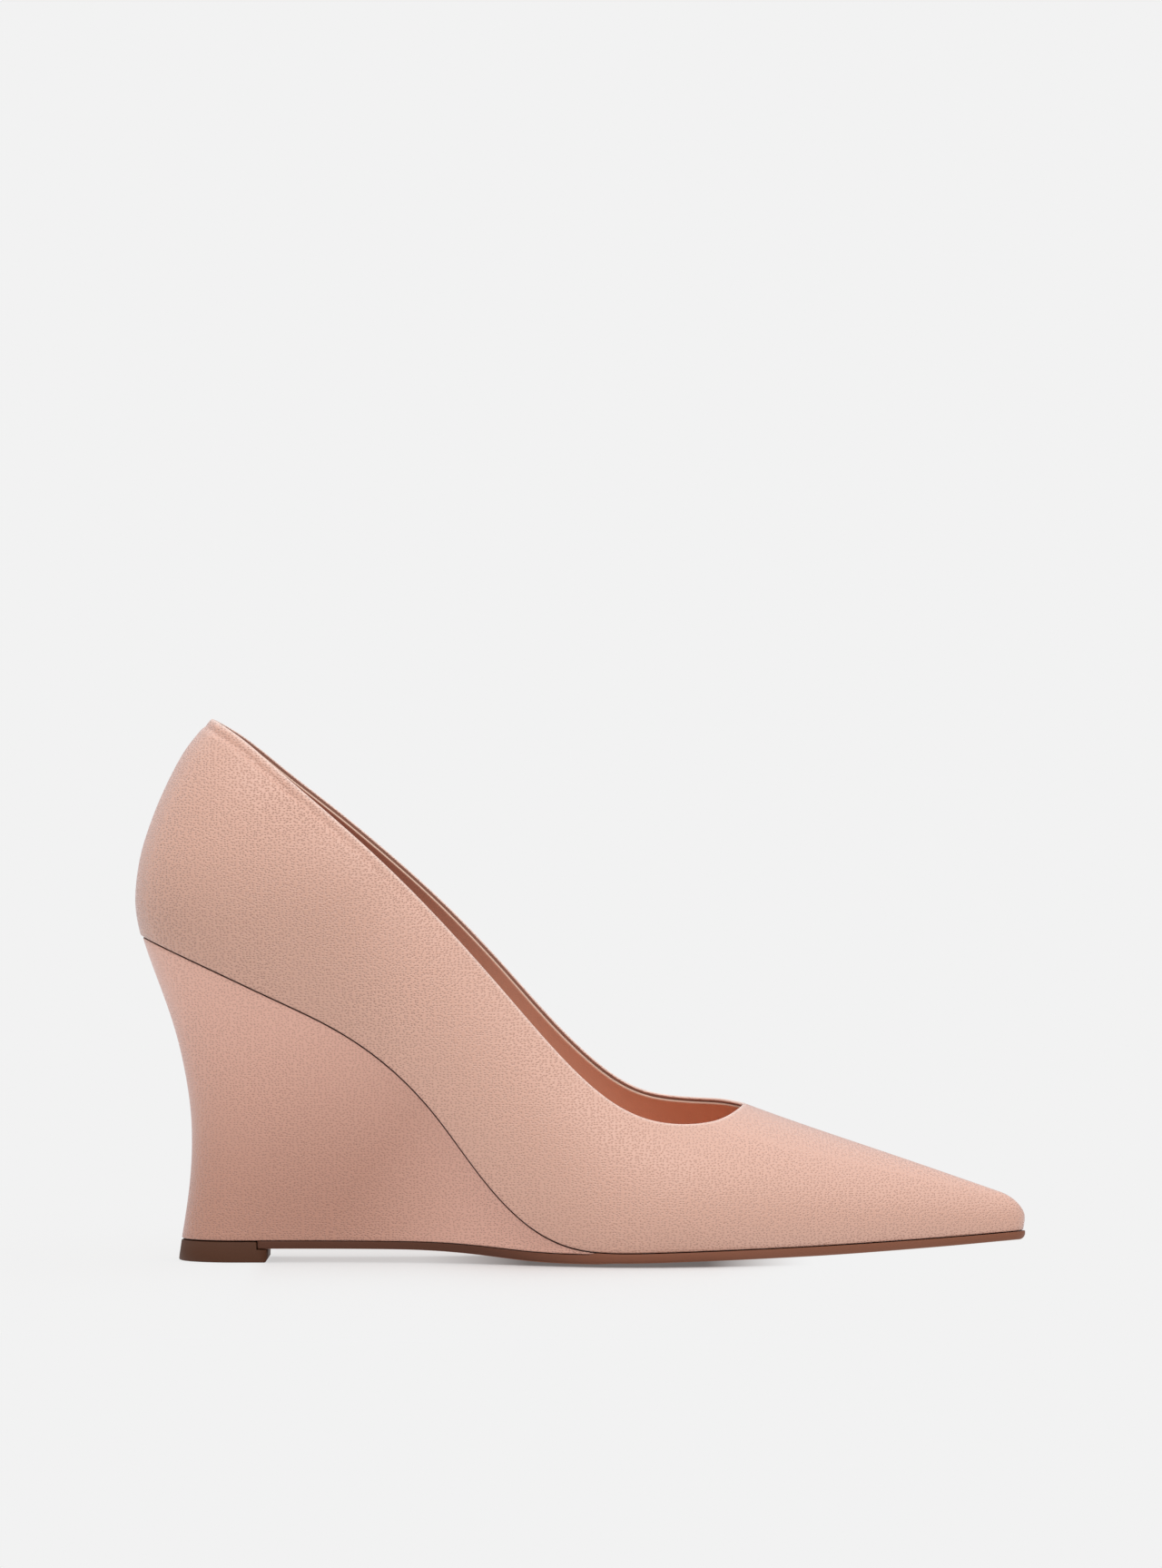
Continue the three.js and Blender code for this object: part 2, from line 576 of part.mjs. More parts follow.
const shoe = new THREE.Group();
shoe.add(makeUpper(), makeInsole(), makeWedge(), makeOutsole(), makeLift());
export default shoe;
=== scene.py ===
"""Looks of the pointed wedge pump: smooth skins over the CAD frame, leather, light and camera.

The tables and the last's formula are the ones the CAD part uses, in millimetres, so every piece lies where its node lies.
"""

import json
import math

import bpy
import numpy as np
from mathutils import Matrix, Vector

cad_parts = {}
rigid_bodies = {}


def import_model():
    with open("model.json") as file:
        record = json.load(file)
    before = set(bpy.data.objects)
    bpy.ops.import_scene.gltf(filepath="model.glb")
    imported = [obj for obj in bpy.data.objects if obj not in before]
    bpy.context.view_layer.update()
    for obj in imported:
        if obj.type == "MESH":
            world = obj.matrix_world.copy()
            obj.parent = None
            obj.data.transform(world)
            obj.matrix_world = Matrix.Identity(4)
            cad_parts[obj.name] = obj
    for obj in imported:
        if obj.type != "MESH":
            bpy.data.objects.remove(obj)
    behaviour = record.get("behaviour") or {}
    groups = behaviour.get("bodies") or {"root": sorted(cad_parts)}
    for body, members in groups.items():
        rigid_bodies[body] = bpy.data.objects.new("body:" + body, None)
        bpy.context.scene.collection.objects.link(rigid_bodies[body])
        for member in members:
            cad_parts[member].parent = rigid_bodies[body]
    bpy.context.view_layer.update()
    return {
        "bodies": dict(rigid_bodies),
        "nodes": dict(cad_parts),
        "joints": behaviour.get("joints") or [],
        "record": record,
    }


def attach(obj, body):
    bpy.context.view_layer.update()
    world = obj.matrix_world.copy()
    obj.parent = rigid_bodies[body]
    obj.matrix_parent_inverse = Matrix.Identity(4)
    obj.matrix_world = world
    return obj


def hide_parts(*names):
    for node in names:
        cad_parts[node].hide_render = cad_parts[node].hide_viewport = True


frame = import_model()

MM = 0.001
WALL, GAP, INSOLE_T = 1.6, 0.3, 2.0
TIP_X, TIP_LEAN = 117.7, 0.5
NOSE_LENGTH, NOSE_DROP = 6.5, 4.5
TOE_ROUND = 3.2
HEEL_LENGTH, HEEL_POWER = 38.0, 2.4
THROAT_X = 43.0
ARCH_HEIGHT, ARCH_AT, ARCH_SPREAD = 2.8, -30.0, 26.0
SOLE_MARGIN, SOLE_BALL, SOLE_WAIST, SOLE_TOE, SOLE_END = 0.55, 2.2, 1.8, 1.9, -84.9
LIFT_H, LIFT_FRONT, LIFT_STEP, LIFT_FLARE, LIFT_ROUND = 5.4, -82.6, 3.35, 0.8, 15.0
WEDGE_FRONT, WEDGE_INSET = 3.5, 0.45
Y_SHIFT = -0.65

SECTION_KEYS = ("x", "half", "centre", "seat", "crown", "ridge", "full", "swell", "dip")
SECTIONS = [
    (-118.0, 24.0, 0.0, 86.3, 180.0, 0.0, 2.5, 0.11, 0.0),
    (-95.0, 24.3, -0.1, 76.1, 163.0, 0.0, 2.6, 0.12, 0.0),
    (-80.0, 24.2, -0.5, 69.2, 151.0, 0.1, 2.8, 0.14, 0.0),
    (-64.5, 23.8, -1.1, 61.6, 139.6, 0.4, 3.0, 0.17, 0.0),
    (-49.5, 23.3, -1.8, 51.0, 127.6, 0.6, 3.1, 0.20, 0.0),
    (-38.0, 23.2, -2.3, 38.9, 117.6, 0.8, 3.1, 0.21, 0.1),
    (-26.5, 24.1, -2.6, 23.5, 106.0, 1.0, 2.9, 0.20, 0.2),
    (-15.0, 26.4, -2.5, 11.4, 92.6, 1.2, 2.7, 0.17, 0.5),
    (-3.8, 29.8, -2.1, 5.3, 77.0, 1.3, 2.35, 0.14, 0.9),
    (8.0, 33.5, -1.1, 3.6, 63.0, 1.6, 2.1, 0.11, 1.25),
    (18.0, 35.4, 0.3, 3.65, 54.0, 1.9, 1.95, 0.10, 1.25),
    (28.0, 35.3, 1.5, 3.9, 47.7, 2.2, 1.9, 0.10, 1.1),
    (42.6, 32.3, 2.7, 4.25, 41.4, 2.8, 1.85, 0.10, 0.9),
    (60.0, 26.4, 3.7, 4.7, 35.1, 4.2, 1.85, 0.10, 0.8),
    (80.0, 18.5, 5.0, 5.4, 28.3, 5.4, 1.9, 0.10, 0.6),
    (100.0, 10.2, 6.2, 6.3, 21.4, 6.4, 1.95, 0.10, 0.35),
    (118.0, 3.0, 7.0, 7.4, 15.1, 7.0, 2.0, 0.10, 0.1),
]
BACK = [  # height, x of the back
    (152.0, -88.0), (143.2, -97.2), (136.0, -103.6), (128.8, -107.9), (121.6, -111.3), (114.4, -114.1),
    (107.2, -116.3), (100.0, -117.5), (94.6, -117.8), (89.2, -117.2), (82.0, -115.2), (71.2, -111.2),
    (60.4, -107.5), (49.6, -104.9), (38.8, -103.3), (28.0, -103.0), (17.2, -103.8), (5.0, -105.6),
]
COLLAR = [  # x, height on the outer side, on the inner side
    (-97.4, 143.0, 143.0), (-90.0, 138.4, 138.5), (-80.0, 130.1, 130.6), (-65.0, 117.2, 118.8),
    (-50.0, 103.6, 106.3), (-35.0, 88.3, 92.6), (-20.0, 71.5, 76.8), (-8.0, 57.8, 63.4), (2.0, 47.7, 53.5),
    (10.0, 41.7, 47.3), (18.0, 38.2, 43.7), (25.0, 37.0, 42.6), (32.0, 37.1, 42.3), (38.0, 38.5, 42.1),
    (43.0, 41.25, 41.25),
]
BASE = [  # x, half width, middle, height of the wedge's lower edge
    (-106.0, 14.0, 0.0, 5.7), (-90.0, 14.0, 0.0, 5.7), (-70.0, 13.6, -0.3, 5.7), (-50.0, 14.4, -0.8, 5.65),
    (-36.0, 16.8, -1.3, 5.4), (-24.0, 20.6, -1.8, 4.65), (-13.0, 25.2, -2.1, 3.75), (-3.8, 29.0, -2.0, 3.35),
    (4.0, 32.0, -1.5, 3.3),
]
LEAN = [  # share of the way from heel to throat, where that station stands on the feather line
    (0.0, -116.0), (0.19, -101.0), (0.35, -77.0), (0.5, -49.0), (0.63, -25.0), (0.74, -4.0), (0.84, 16.0),
    (0.92, 34.0), (1.0, 58.0),
]


# ------------------------------------------------------------------ smooth tables
def curve(rows, key, value):
    """A smooth line through a table's columns, straight past its ends."""
    rows = sorted(rows, key=lambda r: r[key])
    at = np.array([r[key] for r in rows], float)
    v = np.array([r[value] for r in rows], float)
    n = len(at)
    h = np.diff(at)
    a = np.zeros((n, n))
    b = np.zeros(n)
    a[0, 0] = a[-1, -1] = 1
    for i in range(1, n - 1):
        a[i, i - 1 : i + 2] = h[i - 1], 2 * (h[i - 1] + h[i]), h[i]
        b[i] = 6 * ((v[i + 1] - v[i]) / h[i] - (v[i] - v[i - 1]) / h[i - 1])
    m = np.linalg.solve(a, b)

    def f(t):
        t = np.asarray(t, float)
        c = np.clip(t, at[0], at[-1])
        i = np.clip(np.searchsorted(at, c, side="left") - 1, 0, n - 2)
        hh, p, q = h[i], c - at[i], at[i + 1] - c
        y = (m[i] * q**3 + m[i + 1] * p**3) / (6 * hh) + (v[i] / hh - m[i] * hh / 6) * q + (v[i + 1] / hh - m[i + 1] * hh / 6) * p
        first = (v[1] - v[0]) / h[0] - h[0] * (2 * m[0] + m[1]) / 6
        last = (v[-1] - v[-2]) / h[-1] + h[-1] * (m[-2] + 2 * m[-1]) / 6
        return y + np.minimum(t - at[0], 0) * first + np.maximum(t - at[-1], 0) * last

    return f


def mix(a, b, t):
    return a + (b - a) * t


def smooth(a, b, v):
    t = np.clip((v - a) / (b - a), 0, 1)
    return t * t * (3 - 2 * t)


def round_end(t, power):
    return np.sqrt(np.maximum(0, 1 - np.power(1 - np.clip(t, 0, 1), power)))


half_at, centre_at, outer_seat, crown_line, ridge_at, full_at, swell_at, dip_at = (
    curve(SECTIONS, 0, k) for k in range(1, 9)
)
back_at = curve(BACK, 0, 1)
outer_collar, inner_collar = curve(COLLAR, 0, 1), curve(COLLAR, 0, 2)
base_half, base_centre, base_edge = (curve(BASE, 0, k) for k in (1, 2, 3))
foot_of = curve(LEAN, 0, 1)


# ------------------------------------------------------------------ the last
def seat_at(side, x):
    lift = ARCH_HEIGHT * np.exp(-(((x - ARCH_AT) / ARCH_SPREAD) ** 2)) if side > 0 else 0.0
    return outer_seat(x) + lift


def tip_at(z):
    return TIP_X - TIP_LEAN * np.clip((11 - z) / 3.6, 0, 1) ** 2


def slope_of(x):
    return np.hypot(1, (half_at(x + 0.5) - half_at(x - 0.5)) * 0.9)


def crown_at(x):
    nose = np.clip((x - (TIP_X - NOSE_LENGTH)) / NOSE_LENGTH, 0, 1)
    return crown_line(x) - NOSE_DROP * (1 - np.sqrt(1 - nose * nose))


def collar_at(side, x):
    return np.minimum(outer_collar(x) if side < 0 else inner_collar(x), crown_line(x))


def wall_y(side, x, z, inset=0.0):
    seat = seat_at(side, x)
    h = np.clip((z - seat) / (crown_at(x) - seat), 0, 1)
    body = np.sqrt(np.maximum(0, 1 - np.power(h, full_at(x)))) * (1 + 4 * swell_at(x) * h * (1 - h))
    wide = half_at(x) * body - inset * slope_of(x)
    heel = round_end((x - back_at(z) - inset) / HEEL_LENGTH, HEEL_POWER)
    toe = round_end((tip_at(z) - inset - x) / TOE_ROUND, 2)
    middle = mix(centre_at(x), ridge_at(x), smooth(0, 1, h))
    return middle + side * np.maximum(0, wide) * heel * toe


def wall_normal(side, x, z):
    """Outward direction of the skin at arrays of x and z."""
    ridge, back, toe = crown_at(x) - z, x - back_at(z), tip_at(z) - x
    least = np.minimum(np.minimum(ridge, back), toe)
    d = np.clip(least / 3, 1e-4, 0.05)
    h = np.maximum(z, seat_at(side, x) + d)
    dx = (wall_y(side, x + d, h) - wall_y(side, x - d, h)) / (2 * d)
    dz = (wall_y(side, x, h + d) - wall_y(side, x, h - d)) / (2 * d)
    n = np.stack([-side * dx, np.full_like(dx, side), -side * dz], -1)
    zero, one = np.zeros_like(dx), np.ones_like(dx)
    at_back = np.stack([-one, zero, (back_at(z + 0.1) - back_at(z - 0.1)) / 0.2], -1)
    at_toe = np.stack([one, zero, -(tip_at(z + 0.1) - tip_at(z - 0.1)) / 0.2], -1)
    at_ridge = np.stack([-(crown_at(x + 1e-3) - crown_at(x - 1e-3)) / 2e-3, zero, one], -1)
    edge = least <= 2e-3
    is_back = edge & (back == least)
    is_toe = edge & ~is_back & (toe <= 2e-3)
    for where, value in ((is_back, at_back), (is_toe, at_toe), (edge & ~is_back & ~is_toe, at_ridge)):
        n = np.where(where[..., None], value, n)
    return n / np.linalg.norm(n, axis=-1, keepdims=True)


def floor_of(x, y):
    t = np.clip((y - centre_at(x)) / np.maximum(1, half_at(x)), -1, 1)
    return mix(seat_at(-1, x), seat_at(1, x), (t + 1) / 2) - dip_at(x) * (1 - t * t)


def base_of(x, y):
    t = np.clip((y - centre_at(x)) / np.maximum(1, half_at(x)), -1, 1)
    base = base_edge(np.minimum(x, WEDGE_FRONT)) - dip_at(x) * smooth(-45, -10, x) * (1 - t * t)
    return mix(base, floor_of(x, y), smooth(WEDGE_FRONT, WEDGE_FRONT + 7, x))


def meet_back(line, inset):
    lo, hi = -130.0, -60.0
    for _ in range(60):
        mid = (lo + hi) / 2
        if mid < back_at(line(mid)) + inset:
            lo = mid
        else:
            hi = mid
    return hi


# ------------------------------------------------------------------ meshes
class Build:
    """Vertices and faces gathered in millimetres, turned into one Blender mesh."""

    def __init__(self):
        self.v, self.f, self.m, self.tags = [], [], [], []
        self.n = 0

    def grid(self, rows, material=0, close=False, tags=None):
        """rows is (count, count, 3). Faces join neighbouring points of neighbouring rows; tags mark the collar's edge,
        weighting its painted highlight.

        material is one index, or one for each column of faces."""
        rows = np.asarray(rows, float)
        r, c = rows.shape[:2]
        at = self.n + np.arange(r * c).reshape(r, c)
        if close:
            at = np.concatenate([at, at[:, :1]], 1)
        quads = np.stack([at[:-1, :-1], at[1:, :-1], at[1:, 1:], at[:-1, 1:]], -1).reshape(-1, 4)
        self.v.append(rows.reshape(-1, 3))
        self.tags.append(np.zeros(r * c) if tags is None else np.asarray(tags, float).reshape(-1))
        self.f.append(quads)
        self.m.append(np.broadcast_to(material, (r - 1, at.shape[1] - 1)).reshape(-1))
        self.n += r * c

    def make(self, name, materials, weld=0.002, faces_out=None):
        v = np.concatenate(self.v) + np.array([0, Y_SHIFT, 0])
        f, m = np.concatenate(self.f), np.concatenate(self.m)
        key = np.round(v / weld).astype(np.int64)
        _, first, back = np.unique(key, axis=0, return_index=True, return_inverse=True)
        back = back.reshape(-1)
        v = v[first] * MM
        tags = np.concatenate(self.tags)[first]
        faces, kinds = [], []
        for quad, kind in zip(back[f].tolist(), m.tolist()):
            out = [q for k, q in enumerate(quad) if q != quad[k - 1]]
            if len(out) == 4 and (out[0] == out[2] or out[1] == out[3]):
                continue
            if len(out) >= 3:
                faces.append(out)
                kinds.append(kind)
        mesh = bpy.data.meshes.new(name)
        mesh.from_pydata(v.tolist(), [], faces)
        mesh.polygons.foreach_set("material_index", kinds)
        # the edge attribute carries the weight of the upper's painted highlight
        mesh.attributes.new("edge", "FLOAT", "POINT").data.foreach_set("value", tags)
        for material in materials:
            mesh.materials.append(material)
        o = bpy.data.objects.new(name, mesh)
        bpy.context.scene.collection.objects.link(o)
        bpy.context.view_layer.objects.active = o
        o.select_set(True)
        bpy.ops.object.mode_set(mode="EDIT")
        bpy.ops.mesh.select_all(action="SELECT")
        bpy.ops.mesh.normals_make_consistent(inside=False)
        bpy.ops.object.mode_set(mode="OBJECT")
        o.select_set(False)
        if faces_out is not None:  # an open piece: its side walls look away from the middle, or towards it
            away = sum(f.normal.y * (f.center.y - 0.002) * f.area for f in mesh.polygons)
            if (away > 0) != faces_out:
                mesh.flip_normals()
        mesh.polygons.foreach_set("use_smooth", [True] * len(mesh.polygons))
        mesh.update()
        return o


# ------------------------------------------------------------------ node helpers
def material(name, base, rough, specular=0.5):
    m = bpy.data.materials.new(name)
    m.use_nodes = True
    bsdf = m.node_tree.nodes["Principled BSDF"]
    bsdf.inputs["Base Color"].default_value = (*base, 1)
    bsdf.inputs["Roughness"].default_value = rough
    bsdf.inputs["Specular IOR Level"].default_value = specular
    return m, m.node_tree, bsdf


def node(tree, kind, **values):
    n = tree.nodes.new(kind)
    for key, value in values.items():
        if hasattr(n, key):
            setattr(n, key, value)
        else:
            n.inputs[key.replace("_", " ")].default_value = value
    return n


def link(tree, a, out, b, into):
    tree.links.new(a.outputs[out], b.inputs[into])


def pitted_plane(tree, source, first, second, cell):
    """Cells on the plane of two axes."""
    join = node(tree, "ShaderNodeCombineXYZ")
    link(tree, source, first, join, "X")
    link(tree, source, second, join, "Y")
    cells = node(tree, "ShaderNodeTexVoronoi", voronoi_dimensions="2D", feature="F1", Scale=cell, Randomness=0.72)
    link(tree, join, "Vector", cells, "Vector")
    return cells


def pitted_skin(tree, where, source, cell):
    """Cells laid on the surface from its side, its top and its back, each where it faces that way."""
    axes = node(tree, "ShaderNodeSeparateXYZ")
    link(tree, source, "Vector", axes, "Vector")
    facing = node(tree, "ShaderNodeSeparateXYZ")
    link(tree, where, "Normal", facing, "Vector")
    size = {}
    for axis in "XYZ":
        size[axis] = node(tree, "ShaderNodeMath", operation="ABSOLUTE")
        link(tree, facing, axis, size[axis], 0)
    up = node(tree, "ShaderNodeMath", operation="SUBTRACT")
    link(tree, size["Z"], "Value", up, 0)
    link(tree, size["X"], "Value", up, 1)
    upward = node(tree, "ShaderNodeMapRange", interpolation_type="SMOOTHSTEP")
    sideways = node(tree, "ShaderNodeMapRange", interpolation_type="SMOOTHSTEP")
    for n, low, high in ((upward, -0.06, 0.06), (sideways, 0.5, 0.6)):
        n.inputs["From Min"].default_value = low
        n.inputs["From Max"].default_value = high
    link(tree, up, "Value", upward, "Value")
    link(tree, size["Y"], "Value", sideways, "Value")
    ends = node(tree, "ShaderNodeMix", data_type="FLOAT")
    link(tree, upward, "Result", ends, 0)
    link(tree, pitted_plane(tree, axes, "Y", "Z", cell), "Distance", ends, 2)
    link(tree, pitted_plane(tree, axes, "X", "Y", cell), "Distance", ends, 3)
    whole = node(tree, "ShaderNodeMix", data_type="FLOAT")
    link(tree, sideways, "Result", whole, 0)
    link(tree, ends, 0, whole, 2)
    link(tree, pitted_plane(tree, axes, "X", "Z", cell), "Distance", whole, 3)
    return whole


def leather(name, base, rough, specular, grain, sheen=0.0, sheen_tint=(1, 1, 1), mottle=0.05, cell=2000.0, pits=0.0, seam=False, edge=False, shift=None, calm=None):
    """Smooth leather: small pits in wavering rows, shallow swells between them, and a faint cloudiness; the pits'
    colour is darker, painted shade.

    shift is (colour, ramps): painted shade, the colour changing to that colour along each ramp's axis, a ramp being
    (axis, from, to, share),
    and the third value is MAXIMUM or MINIMUM, by which of two ramps' shares counts. calm is (axis, from, to, share):
    the grain fades to that share of its depth."""
    m, t, bsdf = material(name, base, rough, specular)
    bsdf.inputs["Sheen Weight"].default_value = sheen
    bsdf.inputs["Sheen Roughness"].default_value = 0.4
    bsdf.inputs["Sheen Tint"].default_value = (*sheen_tint, 1)
    where = node(t, "ShaderNodeTexCoord")
    wander = node(t, "ShaderNodeTexNoise", Scale=90.0, Detail=2.0)
    link(t, where, "Object", wander, "Vector")
    bend = node(t, "ShaderNodeVectorMath", operation="MULTIPLY_ADD")
    bend.inputs[1].default_value = (0.0012, 0.0012, 0.0012)
    link(t, wander, "Color", bend, 0)
    link(t, where, "Object", bend, 2)
    squeeze = node(t, "ShaderNodeVectorMath", operation="MULTIPLY")
    squeeze.inputs[1].default_value = (0.72, 0.9, 1.15)
    link(t, bend, "Vector", squeeze, 0)
    if pits:
        cells, gap = pitted_skin(t, where, squeeze, cell), 0
    else:
        cells, gap = node(t, "ShaderNodeTexVoronoi", feature="F1", Scale=cell, Randomness=0.75), "Distance"
        link(t, squeeze, "Vector", cells, "Vector")
    fine = node(t, "ShaderNodeTexNoise", Scale=cell * 2.1, Detail=3.0, Roughness=0.6)
    link(t, where, "Object", fine, "Vector")
    patch = node(t, "ShaderNodeTexNoise", Scale=38.0, Detail=2.0)
    link(t, where, "Object", patch, "Vector")
    depth = node(t, "ShaderNodeMapRange")
    for key, value in (("From Min", 0.35), ("From Max", 0.65), ("To Min", 0.78), ("To Max", 1.0)):
        depth.inputs[key].default_value = value
    link(t, patch, "Fac", depth, "Value")
    place = None
    if shift or calm or seam:
        place = node(t, "ShaderNodeSeparateXYZ")
        link(t, where, "Object", place, "Vector")
    if calm:
        axis, low, high, share = calm
        quiet = node(t, "ShaderNodeMapRange", interpolation_type="SMOOTHSTEP")
        for key, value in (("From Min", low), ("From Max", high), ("To Min", 1.0), ("To Max", share)):
            quiet.inputs[key].default_value = value
        link(t, place, axis, quiet, "Value")
        calmed = node(t, "ShaderNodeMath", operation="MULTIPLY")
        link(t, depth, "Result", calmed, 0)
        link(t, quiet, "Result", calmed, 1)
        depth, depth_out = calmed, "Value"
    else:
        depth_out = "Result"
    # each cell's middle is a pit, and the surface swells between the pits
    height = node(t, "ShaderNodeMapRange", interpolation_type="SMOOTHSTEP")
    for key, value in (("From Min", 0.04), ("From Max", 0.5), ("To Min", 0.0), ("To Max", 1.0)):
        height.inputs[key].default_value = value
    link(t, cells, gap, height, "Value")
    both = node(t, "ShaderNodeMath", operation="MULTIPLY_ADD")
    both.inputs[1].default_value = 0.3
    link(t, fine, "Fac", both, 0)
    link(t, height, "Result", both, 2)
    waves = node(t, "ShaderNodeTexNoise", Scale=620.0, Detail=1.5, Roughness=0.5)
    link(t, squeeze, "Vector", waves, "Vector")
    uneven = node(t, "ShaderNodeMath", operation="MULTIPLY_ADD")
    uneven.inputs[1].default_value = 0.9 if pits else 0.3
    link(t, waves, "Fac", uneven, 0)
    link(t, both, "Value", uneven, 2)
    scaled = node(t, "ShaderNodeMath", operation="MULTIPLY")
    link(t, uneven, "Value", scaled, 0)
    link(t, depth, depth_out, scaled, 1)
    top = scaled
    # the pits' colour darkens: painted shade in the hollows
    pit = node(t, "ShaderNodeMapRange", interpolation_type="SMOOTHSTEP")
    for key, value in (("From Min", 0.04), ("From Max", 0.3), ("To Min", pits), ("To Max", 0.0)):
        pit.inputs[key].default_value = value
    link(t, cells, gap, pit, "Value")
    painted_shade = node(t, "ShaderNodeMath", operation="MULTIPLY")
    link(t, pit, "Result", painted_shade, 0)
    link(t, depth, depth_out, painted_shade, 1)
    if seam:  # closed seam down the middle of the heel's back: a fine groove, its colour darkened as painted shade
        split = place
        off = node(t, "ShaderNodeMath", operation="ADD")
        off.inputs[1].default_value = -Y_SHIFT * MM
        link(t, split, "Y", off, 0)
        apart = node(t, "ShaderNodeMath", operation="ABSOLUTE")
        link(t, off, "Value", apart, 0)
        line = node(t, "ShaderNodeMapRange", interpolation_type="SMOOTHSTEP")
        for key, value in (("From Min", 0.0), ("From Max", 0.00055), ("To Min", 1.0), ("To Max", 0.0)):
            line.inputs[key].default_value = value
        link(t, apart, "Value", line, "Value")
        rear = node(t, "ShaderNodeMapRange")
        for key, value in (("From Min", -0.088), ("From Max", -0.09), ("To Min", 0.0), ("To Max", 1.0)):
            rear.inputs[key].default_value = value
        link(t, split, "X", rear, "Value")
        groove = node(t, "ShaderNodeMath", operation="MULTIPLY")
        link(t, line, "Result", groove, 0)
        link(t, rear, "Result", groove, 1)
        top = node(t, "ShaderNodeMath", operation="MULTIPLY_ADD")
        top.inputs[1].default_value = -0.18 / grain
        link(t, groove, "Value", top, 0)
        link(t, scaled, "Value", top, 2)
        # the groove's colour darkens too: painted shade
        groove_shade = node(t, "ShaderNodeMath", operation="MULTIPLY_ADD")
        groove_shade.inputs[1].default_value = 0.22
        link(t, groove, "Value", groove_shade, 0)
        link(t, painted_shade, "Value", groove_shade, 2)
        painted_shade = groove_shade
    bump = node(t, "ShaderNodeBump", Strength=1.0, Distance=grain * MM)
    link(t, top, "Value", bump, "Height")
    link(t, bump, "Normal", bsdf, "Normal")
    tone = node(t, "ShaderNodeMix", data_type="RGBA", blend_type="MIX")
    tone.inputs[6].default_value = (*(c * (1 - mottle) for c in base), 1)
    tone.inputs[7].default_value = (*(min(1, c * (1 + mottle)) for c in base), 1)
    link(t, patch, "Fac", tone, 0)
    # painted shade: along the ramps the colour moves between a shaded tone and a lit tone
    if shift:
        colour, ramps, rule = shift
        way = None
        for axis, low, high, share in ramps:
            one = node(t, "ShaderNodeMapRange", interpolation_type="SMOOTHSTEP")
            for key, value in (("From Min", low), ("From Max", high), ("To Min", 0.0), ("To Max", share)):
                one.inputs[key].default_value = value
            link(t, place, axis, one, "Value")
            if way is None:
                way = one
                continue
            most = node(t, "ShaderNodeMath", operation=rule)
            link(t, way, "Result", most, 0)
            link(t, one, "Result", most, 1)
            way = most
        painted_tone = node(t, "ShaderNodeMix", data_type="RGBA", blend_type="MIX")
        painted_tone.inputs[7].default_value = (*colour, 1)
        link(t, way, "Result" if len(ramps) == 1 else "Value", painted_tone, 0)
        link(t, tone, 2, painted_tone, 6)
        tone = painted_tone
    # darker colour in the pits and in the heel seam's groove: painted shade
    pitted = node(t, "ShaderNodeMix", data_type="RGBA", blend_type="MIX")
    pitted.inputs[7].default_value = (base[0] * 0.42, base[1] * 0.3, base[2] * 0.26, 1)
    link(t, painted_shade, "Value", pitted, 0)
    link(t, tone, 2, pitted, 6)
    shown = pitted
    if edge:  # painted highlight: the leather over the collar's fold is paler
        mark = node(t, "ShaderNodeAttribute", attribute_name="edge")
        highlight_share = node(t, "ShaderNodeMath", operation="MULTIPLY")
        highlight_share.inputs[1].default_value = 0.75
        link(t, mark, "Fac", highlight_share, 0)
        shown = node(t, "ShaderNodeMix", data_type="RGBA", blend_type="MIX")
        shown.inputs[7].default_value = (0.95, 0.76, 0.67, 1)
        link(t, highlight_share, "Value", shown, 0)
        link(t, pitted, 2, shown, 6)
    link(t, shown, 2, bsdf, "Base Color")
    gloss = node(t, "ShaderNodeMapRange")
    for key, value in (("From Min", 0.35), ("From Max", 0.65), ("To Min", rough - 0.03), ("To Max", rough + 0.04)):
        gloss.inputs[key].default_value = value
    link(t, patch, "Fac", gloss, "Value")
    link(t, gloss, "Result", bsdf, "Roughness")
    return m


# ------------------------------------------------------------------ materials
PALE = (0.95, 0.93, 1.0)
BLUSH = (0.68, 0.383, 0.286)
# the upper's colour darkens on the heel's lower part: painted shade
skin_leather = leather("upper_leather", BLUSH, 0.42, 1.0, 0.15, sheen=0.55, sheen_tint=PALE, pits=0.85, seam=True, edge=True, cell=1450.0, shift=((0.605, 0.335, 0.246), (("X", -0.04, -0.072, 1.0), ("Z", 0.112, 0.088, 1.0)), "MINIMUM"), calm=("X", -0.075, 0.02, 0.72))
# a darker copy of the upper's leather for the inner side of the collar's fold: painted shade
shaded_turned_leather = leather("turned_edge_shaded", (0.36, 0.18, 0.13), 0.5, 0.7, 0.03, sheen=0.3, sheen_tint=PALE)
# the wedge's colour darkens towards its bottom, from the waist back to the heel: painted shade
wedge_leather = leather("wedge_leather", (0.49, 0.234, 0.162), 0.45, 0.85, 0.12, sheen=0.45, sheen_tint=PALE, pits=0.6, cell=1500.0, shift=((0.79, 0.44, 0.34), (("Z", 0.006, 0.08, 1.0), ("X", -0.07, -0.018, 0.84)), "MAXIMUM"))
# the lining's colour darkens towards the heel: painted shade inside the heel cup
lining_leather = leather("lining_leather", (0.4, 0.155, 0.1), 0.6, 0.35, 0.03, mottle=0.06, shift=((0.83, 0.46, 0.32), (("X", -0.065, 0.015, 1.0),), "MAXIMUM"))
raw_edge = leather("raw_edge", (0.74, 0.52, 0.41), 0.8, 0.2, 0.01)
# near-black for the turned edges inside the seams: painted shade
seam_shade_edge = leather("seam_shade_edge", (0.13, 0.05, 0.032), 0.7, 0.3, 0.01, mottle=0.1)
